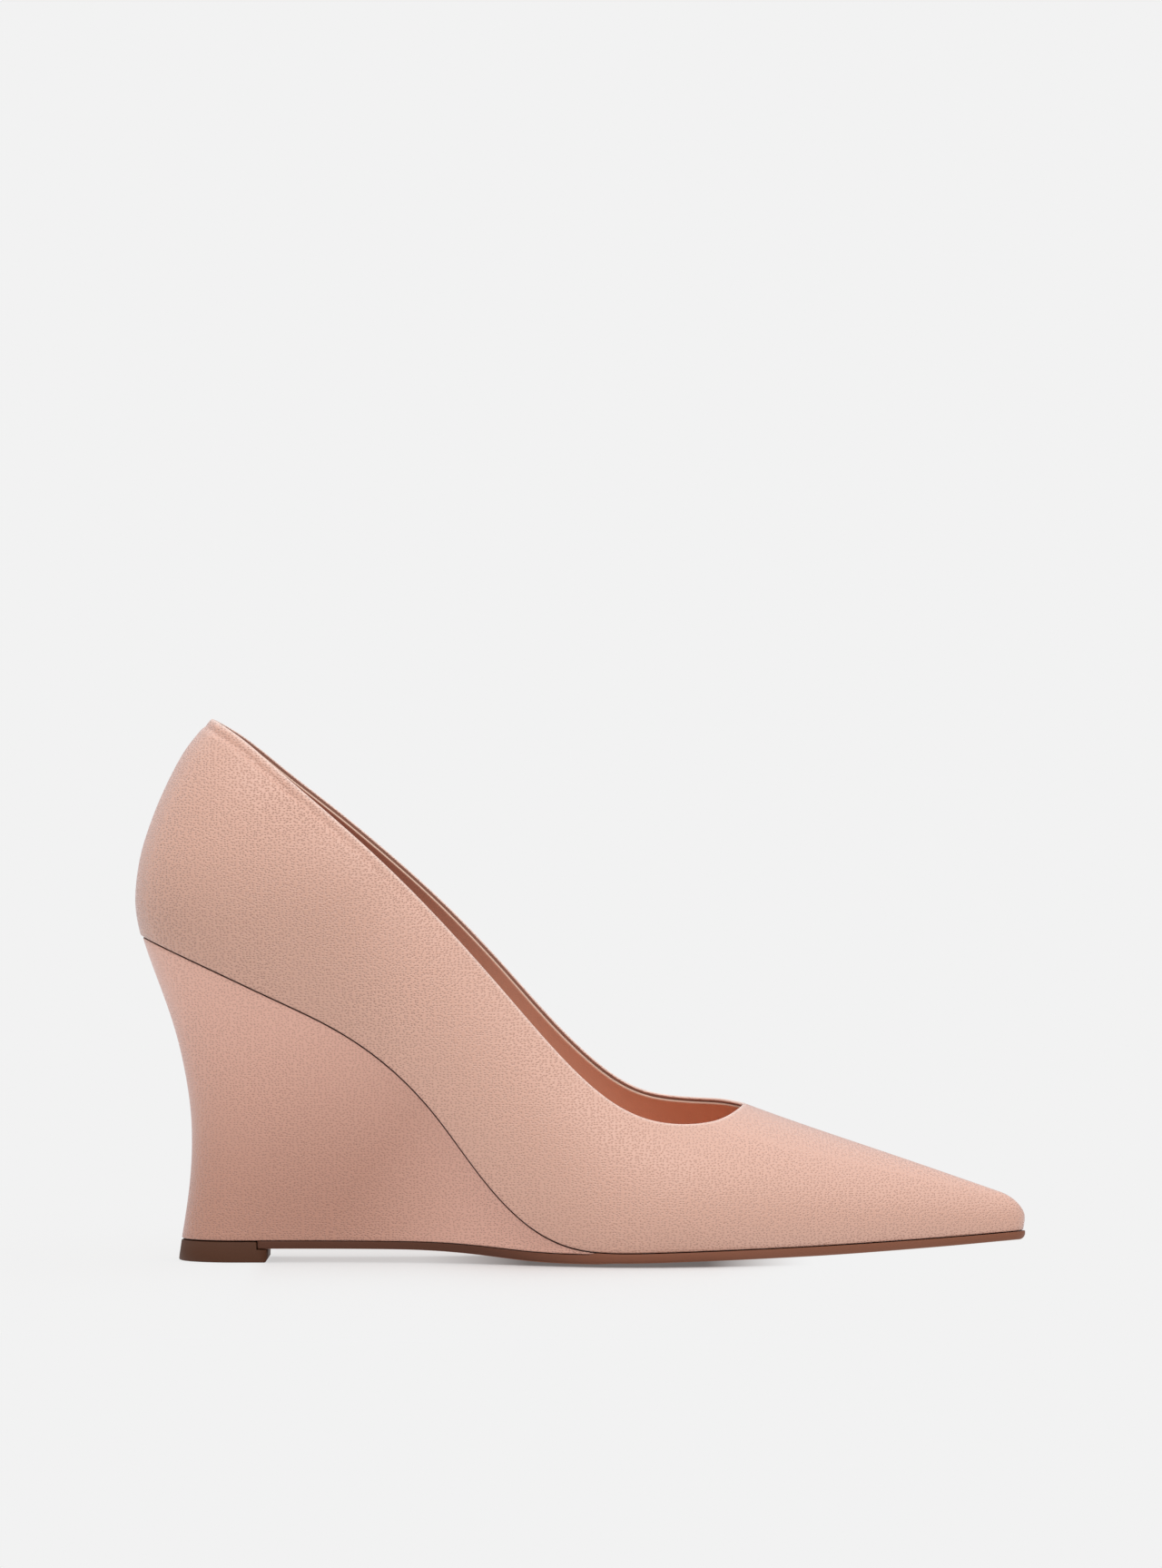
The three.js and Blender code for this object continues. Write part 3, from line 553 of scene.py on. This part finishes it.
# the sole's edge darkens from the ball back to the waist: painted shade under the arch
sole_edge = leather("sole_edge", (0.1, 0.036, 0.02), 0.5, 0.22, 0.01, mottle=0.12, cell=900.0, shift=((0.232, 0.088, 0.05), (("X", -0.03, 0.012, 1.0),), "MAXIMUM"))
sole_leather = leather("sole_leather", (0.26, 0.11, 0.066), 0.55, 0.3, 0.015, mottle=0.08)
lift_rubber = leather("lift_rubber", (0.08, 0.028, 0.012), 0.55, 0.25, 0.01, mottle=0.05, cell=2500.0)


# ------------------------------------------------------------------ upper
REAR, FRONT = 170, 64
LAST = REAR + FRONT
FOLD = 0.42  # radius of the folded edge
BAND = 1.2  # the collar's strip, which follows the edge squarely
STEPS = np.array([0.0, 0.3, 0.6, 0.9, 1.2, 1.5, 1.8, 2.1, 2.4, 2.8, 3.3, 3.9, 4.7, 5.7, 7.0])
DOWN = 46

FOOT0 = meet_back(lambda x: seat_at(-1, x), 0)
TOP0 = meet_back(lambda x: collar_at(-1, x), 0)
LOW0, HIGH0 = float(seat_at(-1, FOOT0)), float(collar_at(-1, TOP0))
TIP_FOOT = float(tip_at(outer_seat(TIP_X)))


def unit(v):
    return v / np.linalg.norm(v)


def across(side, x, g):
    """The skin at x and share g of the section, 0 at the feather line, 1 on the ridge, past 1 on the other side."""
    if g > 1:
        side, g = -side, 2 - g
    seat = seat_at(side, x)
    z = seat + (crown_at(x) - seat) * math.sin(math.pi / 2 * g)
    return np.array([x, float(wall_y(side, x, z)), float(z)])


def round_back(side, b, z):
    """The skin at height z, b*b in front of the heel's back; b below 0 is the other side."""
    x = float(back_at(z)) + b * b
    return np.array([x, float(wall_y(side if b >= 0 else -side, x, z)), z])


def settle(chart, side, u, v, target):
    """The chart's u and v nearest to a point in space."""
    at = np.array([u, v], float)
    for _ in range(5):
        p = chart(side, *at)
        du, dv = (0.01, 0.001) if chart is across else (0.01, 0.01)
        j = np.stack([(chart(side, at[0] + du, at[1]) - p) / du, (chart(side, at[0], at[1] - dv) - p) / -dv], 1)
        at = at + np.linalg.lstsq(j, target - p, rcond=None)[0]
    return at


def rim_point(side, i):
    s = i / REAR
    if i == 0:
        x, z = TOP0, HIGH0
    else:
        x = mix(TOP0, THROAT_X, (1 - math.cos(math.pi * s)) / 2)
        z = float(collar_at(side, x) if i < REAR else crown_at(x))
        if s < 0.2:  # both sides start from one point at the back
            z += float(collar_at(-1, TOP0) - collar_at(side, TOP0)) * (1 - s / 0.2) ** 2
    return np.array([x, float(wall_y(side, x, z)), z])


RIM = {side: [rim_point(side, i) for i in range(REAR + 1)] for side in (-1, 1)}


def rim_frames(side):
    """At each rear station: the edge's point, the outward direction, and the direction down the skin from the edge."""
    own, other, out = RIM[side], RIM[-side], []
    for i, p in enumerate(own):
        before = own[i - 1] if i else other[1]
        after = own[i + 1] if i < REAR else other[REAR - 1]
        along = unit(after - before)
        if i in (0, REAR):
            along = np.array([0, math.copysign(1, along[1]), 0])
        n = wall_normal(side, np.array([p[0]]), np.array([p[2]]))[0]
        n = unit(n - along * (n @ along))
        d = np.cross(n, along)
        down = d if (d[2] < 0 if i < 0.9 * REAR else d[0] > 0) else -d
        out.append((p, n, down))
    return out


def beside_rim(side, i, frame, a):
    """The skin's point a millimetres down from the edge."""
    p, n, d = frame
    goal = p + d * a
    if i < 0.4 * REAR:
        b = math.sqrt(max(0, p[0] - float(back_at(p[2]))))
        return round_back(side, *(settle(round_back, side, b, p[2], goal) if i else (0.0, goal[2])))
    seat, crown = float(seat_at(side, p[0])), float(crown_at(p[0]))
    g = math.asin(min(1, (p[2] - seat) / (crown - seat))) * 2 / math.pi
    if i == REAR:
        return across(side, THROAT_X + a * d[0], 1.0)
    return across(side, *settle(across, side, p[0], g, goal))


def row_line(side, i, top, v):
    """The skin from the feather line (v 0) up to the station's top point (v 1)."""
    if i == 0:
        z = mix(LOW0, top[2], v)
        x = back_at(z)
        return np.stack([x, wall_y(side, x, z), z], -1)
    if i <= REAR:
        s = i / REAR
        fx = float(foot_of(s)) + (FOOT0 - LEAN[0][1]) * (1 - s) ** 8
        bow, crowd = max(0, 1 - (s / 0.6) ** 2) ** 2, float(smooth(0.4, 0.8, s))
    else:
        r = (i - REAR) / FRONT
        fx = mix(float(foot_of(1.0)), TIP_FOOT, 1 - (1 - r) ** 2 * (1 + 1.5 * r))
        bow, crowd = 0.0, 1.0
    straight = mix(float(seat_at(side, fx)), top[2], v)
    if i == LAST:
        x, z = tip_at(straight), straight
    else:
        x = mix(fx, top[0], v)
        x = x + (back_at(mix(LOW0, BACK_TOP[2], v)) - mix(FOOT0, BACK_TOP[0], v)) * bow
        seat, crown = float(seat_at(side, top[0])), float(crown_at(top[0]))
        g = math.asin(min(1, (top[2] - seat) / (crown - seat)))
        low = seat_at(side, x)
        z = mix(straight, low + (crown_at(x) - low) * np.sin(g * v), crowd)
    return np.stack([x, wall_y(side, x, z), z], -1)


FRAMES = {side: rim_frames(side) for side in (-1, 1)}
BACK_TOP = beside_rim(-1, 0, FRAMES[-1][0], BAND)


def skin(side):
    """Points and outward directions of one side, level by level from the collar's strip down to the feather line."""
    fine = np.linspace(1, 0, 1000)
    rows, normals = [], []
    start = beside_rim(side, REAR, FRAMES[side][REAR], BAND)[0]
    for i in range(LAST + 1):
        if i <= REAR:
            top = BACK_TOP if i == 0 else beside_rim(side, i, FRAMES[side][i], BAND)
        else:
            r = (i - REAR) / FRONT
            x = mix(start, TIP_X, 1 - (1 - r) ** 2 * (1 + r)) if i < LAST else TIP_X
            top = np.array([x, 0, float(crown_at(x))])
        p = row_line(side, i, top, fine)
        gone = np.concatenate([[0], np.cumsum(np.linalg.norm(np.diff(p, axis=0), axis=1))])
        total = gone[-1]
        near = STEPS * min(1, 0.4 * total / STEPS[-1])
        tuck = min(0.42, 0.1 * total)
        steps = np.concatenate([near, near[-1] + (total - tuck - near[-1]) * np.arange(1, DOWN + 1) / DOWN, [total]])
        q = row_line(side, i, top, np.interp(steps, gone, fine))
        rows.append(q)
        normals.append(wall_normal(side, q[:, 0], q[:, 2]))
    return np.array(rows), np.array(normals)


def from_edge(side, points):
    """Distance of each point to the collar's edge on its side, and how far along that edge it lies."""
    edge = np.array(RIM[side])
    line = np.concatenate([mix(edge[:-1], edge[1:], k / 4) for k in range(4)])
    share = np.concatenate([(np.arange(REAR) + k / 4) / REAR for k in range(4)])
    flat = points.reshape(-1, 3)
    gap = np.linalg.norm(flat[:, None] - line[None], axis=2)
    best = gap.argmin(1)
    return gap.min(1).reshape(points.shape[:-1]), share[best].reshape(points.shape[:-1])


def edge_relief(a, s):
    """The turned-in edge under the skin: a soft valley below it, full at the heel and gone towards the front."""
    fade = 1 - smooth(0.22, 0.52, s)
    start = smooth(0.0, 0.07, s) * 0.6 + 0.4
    valley = -0.5 * np.exp(-(((a - 2.75) / 0.9) ** 2)) + 0.1 * np.exp(-(((a - 4.4) / 0.9) ** 2))
    return (valley + 0.02 * np.exp(-((a / 1.2) ** 2))) * fade * start


def build_upper():
    b, lining = Build(), Build()
    for side in (-1, 1):
        rows, normals = skin(side)
        frames = FRAMES[side]
        out = rows.copy()
        part = rows[: REAR + 1, : len(STEPS) + 3]
        away, share = from_edge(side, part)
        out[: REAR + 1, : len(STEPS) + 3] += normals[: REAR + 1, : len(STEPS) + 3] * edge_relief(away, share)[..., None]
        # feather edge turned under
        turned = []
        for i in range(LAST + 1):
            f, up, n = rows[i, -1], rows[i, -2] - rows[i, -1], normals[i, -1]
            r = np.linalg.norm(up)
            up = up / max(r, 1e-9)
            bend = [f + up * r * (1 - math.sin(w)) - n * 1.6 * r * (1 - math.cos(w)) for w in (0.4, 0.8, 1.2, math.pi / 2)]
            turned.append([*bend, f - n * (r + 1.0)])
        turned = np.array(turned)
        b.grid(np.concatenate([out[:, :-1], turned[:, :2]], 1))
        # the turned feather edge that dips into the seam is coloured near-black: painted shade
        b.grid(turned[:, 1:], 2)
        # folded collar edge: down the outside, over the top and into the shoe
        fold, lip = [], []
        for i in range(REAR + 1):
            p, n, d = frames[i]
            ring = [out[i, 0]]
            for a in (0.95, 0.68):
                q = beside_rim(side, i, frames[i], a)
                ring.append(q + n * float(edge_relief(a, i / REAR)))
            for w in np.linspace(0, math.pi, 11):
                ring.append(p + d * FOLD * (1 - math.sin(w)) - n * FOLD * (1 - math.cos(w)))
            ring += [p + d * 0.62 - n * 2 * FOLD, p + d * 0.9 - n * (2 * FOLD + 0.1)]
            fold.append(ring)
            face = rows[i, 0] - normals[i, 0] * (WALL + 0.02)
            lip.append([face, p + d * 0.98 - n * 1.56, p + d * 0.86 - n * 1.46, p + d * 0.8 - n * 1.3, p + d * 0.84 - n * 1.05])
        # the fold's outer half is paler towards its top: painted highlight
        over = np.linspace(0, math.pi, 11)
        painted_highlight = [0.0, 0.1, 0.35, *(np.where(over < 1.9, 0.5 + 0.5 * np.sin(over), np.maximum(0, 1 - (over - 1.9) * 1.6))), 0.0, 0.0]
        fold, painted_highlight = np.array(fold), np.tile(painted_highlight, (REAR + 1, 1))
        b.grid(fold[:, :12], tags=painted_highlight[:, :12])
        # the fold's inner part takes the darker copy of the leather: painted shade
        b.grid(fold[:, 11:], 1)
        lip = np.array(lip)
        lining.grid((rows - normals * (WALL + 0.02))[:, :-1])
        lining.grid(lip[:, :2])
        lining.grid(lip[:, 1:], 1)
    upper = b.make("upper_skin", [skin_leather, shaded_turned_leather, seam_shade_edge], faces_out=True)
    inside = lining.make("upper_lining", [lining_leather, raw_edge], faces_out=False)
    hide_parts("upper")
    return upper, inside


# ------------------------------------------------------------------ insole
def build_insole():
    b = Build()
    inset = WALL - 0.08
    start = meet_back(lambda x: seat_at(-1, x), inset) + 0.02
    end = float(tip_at(outer_seat(TIP_X))) - inset - 3
    s = np.linspace(0, 1, 150)
    x = mix(start, end, mix(s, (1 - np.cos(np.pi * s)) / 2, 0.8))
    left = wall_y(-1, x, seat_at(-1, x) + 0.01, inset)
    right = wall_y(1, x, seat_at(1, x) + 0.01, inset)
    u = np.sin(np.linspace(-1, 1, 33) * np.pi / 2)
    xx = np.repeat(x[:, None], len(u), 1)
    y = mix(left[:, None], right[:, None], (u[None] + 1) / 2)
    z = floor_of(xx, y) + INSOLE_T - 0.45 * np.abs(u[None]) ** 14
    top = np.stack([xx, y, z], -1)
    low = np.stack([xx, y, floor_of(xx, y) + 0.1], -1)
    b.grid(np.concatenate([top, low[:, ::-1]], 1), close=True)
    o = b.make("insole_sock", [lining_leather])
    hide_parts("insole")
    return o


# ------------------------------------------------------------------ wedge heel
def wedge_y(side, x, z, e):
    g = np.power(e, 1.35)
    w = mix(base_half(x), half_at(x) - WEDGE_INSET, g)
    c = mix(base_centre(x), centre_at(x), g)
    length = mix(LIFT_ROUND, HEEL_LENGTH, smooth(0, 1, e))
    t = np.clip((x - back_at(z) - WEDGE_INSET * e) / length, 0, 1)
    heel = np.sqrt(np.maximum(0, 1 - np.power(1 - t, mix(2, HEEL_POWER, e))))
    return c + side * w * heel


def under(x, y):
    return floor_of(x, y) - 0.07  # drawn up tight against the upper


def build_wedge():
    b = Build()
    along, rise, across = 150, 56, 8
    top0 = meet_back(lambda x: under(x, centre_at(x)), WEDGE_INSET)
    low0 = meet_back(lambda x: base_of(x, 0), 0)
    z0, zl0 = float(under(top0, centre_at(top0))), float(base_of(low0, 0))
    walls = {}
    bend = np.array([0.0, 0.03, 0.08, 0.17, 0.28, 0.42])
    for side in (-1, 1):
        rows, tucks = [], []
        for i in range(along + 1):
            s = i / along
            k = mix(1 - math.cos(math.pi / 2 * s), (1 - math.cos(math.pi * s)) / 2, 0.6)
            tx, lx = mix(top0, WEDGE_FRONT, k), mix(low0, WEDGE_FRONT, k)
            tz = z0 if i == 0 else float(under(tx, wedge_y(side, tx, under(tx, side * 20), 1)))
            lz = zl0 if i == 0 else float(base_of(lx, wedge_y(side, lx, base_of(lx, 0), 0)))
            tall = tz - lz
            scale = min(1.0, 0.3 * tall / bend[-1])
            near = bend * scale / tall
            e = np.concatenate([near, np.linspace(near[-1], 1 - near[-1], rise - 9)[1:-1], 1 - near[::-1]])
            bow = max(0, 1 - (s / 0.9) ** 2) ** 2
            z = mix(lz, tz, e)
            back = back_at(mix(zl0, z0, e)) + WEDGE_INSET * e
            x = back if i == 0 else mix(lx, tx, e) + (back - mix(low0, top0, e)) * bow
            rows.append(np.stack([x, wedge_y(side, x, z, e), z], -1))
            r = bend[-1] * scale
            t = np.minimum(np.minimum(e, 1 - e) * tall, r)
            tucks.append(1.6 * (r - np.sqrt(np.maximum(0, r * r - (r - t) ** 2))))
        rows = np.array(rows)
        way = np.gradient(rows, axis=0)
        way[0] = (0, side, 0)
        inwards = np.stack([np.abs(way[..., 1]), -side * np.abs(way[..., 0]), np.zeros(way.shape[:2])], -1)
        inwards[:, :, 0] *= np.where(way[..., 1] * side > 0, 1, -1)
        inwards /= np.maximum(1e-9, np.linalg.norm(inwards, axis=-1, keepdims=True))
        walls[side] = rows + inwards * np.array(tucks)[..., None]
    # one loop round each station: up one wall, over the bed, down the other, under the base
    u = np.linspace(0, 1, across + 1)[1:-1]
    loops = []
    for i in range(along + 1):
        a, c = walls[-1][i], walls[1][i]
        over = mix(a[-1][None], c[-1][None], u[:, None])
        over[:, 2] = under(over[:, 0], over[:, 1])
        low = mix(c[0][None], a[0][None], u[:, None])
        low[:, 2] = base_of(low[:, 0], low[:, 1])
        loops.append(np.concatenate([a, over, c[::-1], low]))
    # the cover's turned edges are coloured dark where they meet the upper and the sole: painted shade in the seams
    tall, wide = len(walls[-1][0]), across - 1
    painted_shade = np.zeros(2 * (tall + wide), int)
    painted_shade[[0, 1, tall - 4, tall - 3, tall - 2]] = 1
    painted_shade[[tall + wide, tall + wide + 1, tall + wide + 2, 2 * tall + wide - 3, 2 * tall + wide - 2]] = 1
    b.grid(loops, painted_shade, close=True)
    # thin front edge
    a, c = walls[-1][along], walls[1][along]
    v = np.linspace(0, 1, across + 1)
    front = mix(a[:, None], c[:, None], v[None, :, None])
    share = ((a[:, 2] - a[0, 2]) / (a[-1, 2] - a[0, 2]))[:, None]
    front[..., 2] = mix(base_of(front[..., 0], front[..., 1]), under(front[..., 0], front[..., 1]), share)
    b.grid(front)
    o = b.make("wedge_cover", [wedge_leather, seam_shade_edge])
    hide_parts("wedge_heel")
    return o


# ------------------------------------------------------------------ outsole
def sole_y(side, x):
    join = smooth(-8, 10, x)
    w = mix(base_half(np.minimum(x, 4)), half_at(x) + SOLE_MARGIN, join)
    c = mix(base_centre(np.minimum(x, 4)), centre_at(x), join)
    return c + side * w * round_end((TIP_X + 0.1 - x) / TOE_ROUND, 2)


def bed_of(x, y):
    """Height of the sole's upper face: drawn up to the upper right in front of the wedge."""
    return mix(base_of(x, y), floor_of(x, y), smooth(WEDGE_FRONT - 1.0, WEDGE_FRONT + 0.25, x)) - 0.1


def sole_t(x):
    return mix(mix(SOLE_WAIST, SOLE_BALL, smooth(-50, -10, x)), SOLE_TOE, smooth(60, 115, x))


def build_outsole():
    b = Build()
    s = np.linspace(0, 1, 220)
    x = mix(SOLE_END, TIP_X + 0.05, mix(s, np.sin(np.pi / 2 * s), 0.55 * smooth(0.3, 1, s) + 0.2))
    loops = []
    for q in x:
        a, c = float(sole_y(-1, q)), float(sole_y(1, q))
        t, half = float(sole_t(q)), (c - a) / 2
        # the lower edge is bevelled, most at the ball, and rounds up at the very tip
        t *= math.sqrt(max(0.1, 1 - 0.85 * max(0, (q - (TIP_X - 1.6)) / 1.65) ** 2))
        bevel = min(mix(0.35, 0.75, float(smooth(-40, 0, q))), half * 0.35)
        u = (np.sin(np.linspace(-1, 1, 25) * np.pi / 2) + 1) / 2
        y = mix(a + min(0.2, half * 0.1), c - min(0.2, half * 0.1), u)
        top = np.stack([np.full_like(y, q), y, bed_of(q, y)], -1)
        y2 = mix(c - bevel, a + bevel, u)
        low = np.stack([np.full_like(y2, q), y2, np.maximum(0, base_of(q, y2) - GAP - t)], -1)

        def side_of(edge, inward):
            z1 = float(bed_of(q, edge))
            z0 = max(0.0, float(base_of(q, edge)) - GAP - t)
            r = min(bevel, (z1 - z0) * 0.45)
            pts = [(0.06, z1 - 0.04), (0.01, z1 - 0.14), (0.0, mix(z0 + r, z1, 0.5)), (0.03, z0 + r), (bevel * 0.45, z0 + r * 0.3)]
            return [[q, edge + inward * dy, z] for dy, z in pts]

        loops.append(np.concatenate([top, side_of(c, -1), low, side_of(a, 1)[::-1]]))
    loops = np.array(loops)
    n_top, n_side = 25, 5
    # faces of the underside get their own material
    b.grid(loops[:, : n_top + n_side])
    b.grid(loops[:, n_top + n_side - 1 : n_top + n_side + 25 + 1], 1)
    b.grid(np.concatenate([loops[:, n_top + n_side + 25 :], loops[:, :1]], 1))
    for end in (0, -1):
        loop = loops[end]
        mid = loop.mean(0)
        b.grid(np.stack([np.concatenate([loop, loop[:1]]), np.repeat(mid[None], len(loop) + 1, 0)]))
    o = b.make("outsole_leather", [sole_edge, sole_leather])
    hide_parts("outsole")
    return o


# ------------------------------------------------------------------ heel lift
def build_lift():
    b = Build()
    back = float(back_at(LIFT_H + 0.3))
    shelf = SOLE_END - GAP

    def outline(z, front, inset):
        grow = LIFT_FLARE * (1 - z / LIFT_H) - inset
        start = back - grow
        s = np.linspace(0, 1, 40)
        x = mix(start, min(front, shelf) - inset * (front <= shelf), 1 - np.cos(np.pi / 2 * s))
        w = (base_half(x) + grow * 0.5) * round_end((x - start) / LIFT_ROUND, 2)
        if front > shelf:
            x = np.append(x, front - inset)
            w = np.append(w, base_half(front) + grow * 0.5)
        right = np.stack([x, w, np.full_like(x, z)], -1)
        left = np.stack([x, -w, np.full_like(x, z)], -1)[::-1]
        return np.concatenate([right, left])

    low = [outline(z, LIFT_FRONT, i) for z, i in ((0, 0.55), (0.12, 0.2), (0.4, 0.03), (1.6, 0), (LIFT_STEP - 0.15, 0), (LIFT_STEP, 0.12))]
    b.grid(low, close=True)
    top = [outline(z, shelf, i) for z, i in ((LIFT_STEP - 0.15, 0), (LIFT_H - 0.2, 0), (LIFT_H, 0.2))]
    b.grid(top, close=True)
    for ring in (low[0], low[-1], top[-1]):
        n = len(ring) // 2
        b.grid(np.stack([ring[:n], ring[n:][::-1]]))
    o = b.make("lift_rubber", [lift_rubber])
    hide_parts("top_piece")
    return o


upper, lining = build_upper()
pieces = [upper, lining, build_insole(), build_wedge(), build_outsole(), build_lift()]
for piece in pieces:
    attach(piece, "root")


# ------------------------------------------------------------------ floor, light, camera
PAPER = 0.888  # the picture's plain background


FLOOR_ALBEDO = 0.8013


def ramp(tree, source, out, low, high, start=0.0, end=1.0):
    n = node(tree, "ShaderNodeMapRange", interpolation_type="SMOOTHSTEP")
    for key, value in (("From Min", low), ("From Max", high), ("To Min", start), ("To Max", end)):
        n.inputs[key].default_value = value
    link(tree, source, out, n, "Value")
    return n


def build_floor():
    """Paper that meets the background's tone everywhere; shadows fall on it close to the shoe."""
    mesh = bpy.data.meshes.new("floor")
    low = -0.04 * MM  # just clear of the lift's and the ball's flat faces
    mesh.from_pydata([(-30, -6, low), (30, -6, low), (30, 90, low), (-30, 90, low)], [], [(0, 1, 2, 3)])
    o = bpy.data.objects.new("floor", mesh)
    bpy.context.scene.collection.objects.link(o)
    m = bpy.data.materials.new("floor_paper")
    m.use_nodes = True
    t = m.node_tree
    t.nodes.clear()
    out = node(t, "ShaderNodeOutputMaterial")
    blend = node(t, "ShaderNodeMixShader")
    paper = node(t, "ShaderNodeBsdfDiffuse", Color=(FLOOR_ALBEDO, FLOOR_ALBEDO, FLOOR_ALBEDO, 1))
    glow = node(t, "ShaderNodeEmission", Color=(PAPER, PAPER, PAPER, 1), Strength=1.0)
    where = node(t, "ShaderNodeTexCoord")
    reach = node(t, "ShaderNodeVectorMath", operation="LENGTH")
    link(t, where, "Object", reach, 0)
    split = node(t, "ShaderNodeSeparateXYZ")
    link(t, where, "Object", split, "Vector")
    # where these ramps rise the floor glows in place of lit paper: painted light that thins the contact shadow under
    # the toe, the arch and the heel, and a little everywhere
    far = ramp(t, reach, "Value", 0.11, 0.3)
    toe = ramp(t, split, "X", 0.024, 0.062, 0.0, 1.0)
    arch = ramp(t, split, "X", 0.0, -0.045, 0.0, 0.62)
    heel = ramp(t, split, "X", -0.07, -0.088, 0.0, 0.86)
    fade = far
    for other in (toe, arch, heel):
        more = node(t, "ShaderNodeMath", operation="MAXIMUM")
        link(t, fade, "Result" if fade is far else "Value", more, 0)
        link(t, other, "Result", more, 1)
        fade = more
    least = node(t, "ShaderNodeMath", operation="MAXIMUM")
    least.inputs[1].default_value = 0.14
    link(t, fade, "Value", least, 0)
    link(t, least, "Value", blend, "Fac")
    link(t, paper, "BSDF", blend, 1)
    link(t, glow, "Emission", blend, 2)
    link(t, blend, "Shader", out, "Surface")
    mesh.materials.append(m)
    return o


def build_world():
    """Even pale background, lit as a studio: a bright ceiling and a dimmer room on the camera's side."""
    w = bpy.data.worlds.new("studio")
    bpy.context.scene.world = w
    w.use_nodes = True
    t = w.node_tree
    t.nodes.clear()
    out = node(t, "ShaderNodeOutputWorld")
    glow = node(t, "ShaderNodeBackground", Strength=1.0)
    plain = node(t, "ShaderNodeBackground", Color=(PAPER, PAPER, PAPER, 1), Strength=1.0)
    where = node(t, "ShaderNodeTexCoord")
    split = node(t, "ShaderNodeSeparateXYZ")
    link(t, where, "Generated", split, "Vector")
    front = ramp(t, split, "Y", 0.1, -0.8)
    above = ramp(t, split, "Z", 0.2, 0.85)
    room = node(t, "ShaderNodeMix", data_type="RGBA")
    room.inputs[6].default_value = (0.4, 0.4, 0.4, 1)
    room.inputs[7].default_value = (0.35, 0.35, 0.355, 1)
    link(t, front, "Result", room, 0)
    sky = node(t, "ShaderNodeMix", data_type="RGBA")
    sky.inputs[7].default_value = (1.35, 1.35, 1.35, 1)
    link(t, above, "Result", sky, 0)
    link(t, room, 2, sky, 6)
    link(t, sky, 2, glow, "Color")
    seen = node(t, "ShaderNodeLightPath")
    pick = node(t, "ShaderNodeMixShader")
    link(t, seen, "Is Camera Ray", pick, "Fac")
    link(t, glow, "Background", pick, 1)
    link(t, plain, "Background", pick, 2)
    link(t, pick, "Shader", out, "Surface")


def build_lights():
    scene = bpy.context.scene.collection
    key = bpy.data.lights.new("key", "SUN")
    key.energy = 0.2
    key.angle = math.radians(40)
    o = bpy.data.objects.new("key", key)
    # from above the camera, a little towards the toe
    o.rotation_euler = Vector((-0.12, 0.72, -0.74)).to_track_quat("-Z", "Y").to_euler()
    scene.objects.link(o)
    # long softbox close above the shoe's front side, for the shoe alone
    box = bpy.data.lights.new("softbox", "AREA")
    box.shape = "RECTANGLE"
    box.size, box.size_y = 0.6, 0.22
    box.energy = 0.55
    o = bpy.data.objects.new("softbox", box)
    o.location = (0.0, -0.3, 0.42)
    o.rotation_euler = (Vector((0.0, 0.0, 0.06)) - o.location).to_track_quat("-Z", "Y").to_euler()
    scene.objects.link(o)
    lit = bpy.data.collections.new("lit_by_softbox")
    for piece in pieces:
        lit.objects.link(piece)
    o.light_linking.receiver_collection = lit


def build_camera():
    cam = bpy.data.cameras.new("camera")
    cam.sensor_fit = "VERTICAL"
    cam.sensor_height = 36
    cam.sensor_width = 36
    cam.lens = 36 * 2000 / (1727 * 0.24)
    cam.clip_start = 0.1
    cam.clip_end = 200
    o = bpy.data.objects.new("camera", cam)
    o.location = (0, -2.0, 0.1256)
    o.rotation_euler = (math.pi / 2, 0, 0)
    bpy.context.scene.collection.objects.link(o)
    bpy.context.scene.camera = o


build_floor()
build_world()
build_lights()
build_camera()
view = bpy.context.scene.view_settings
view.view_transform = "Standard"
view.look = "None"
view.exposure = 0
view.gamma = 1
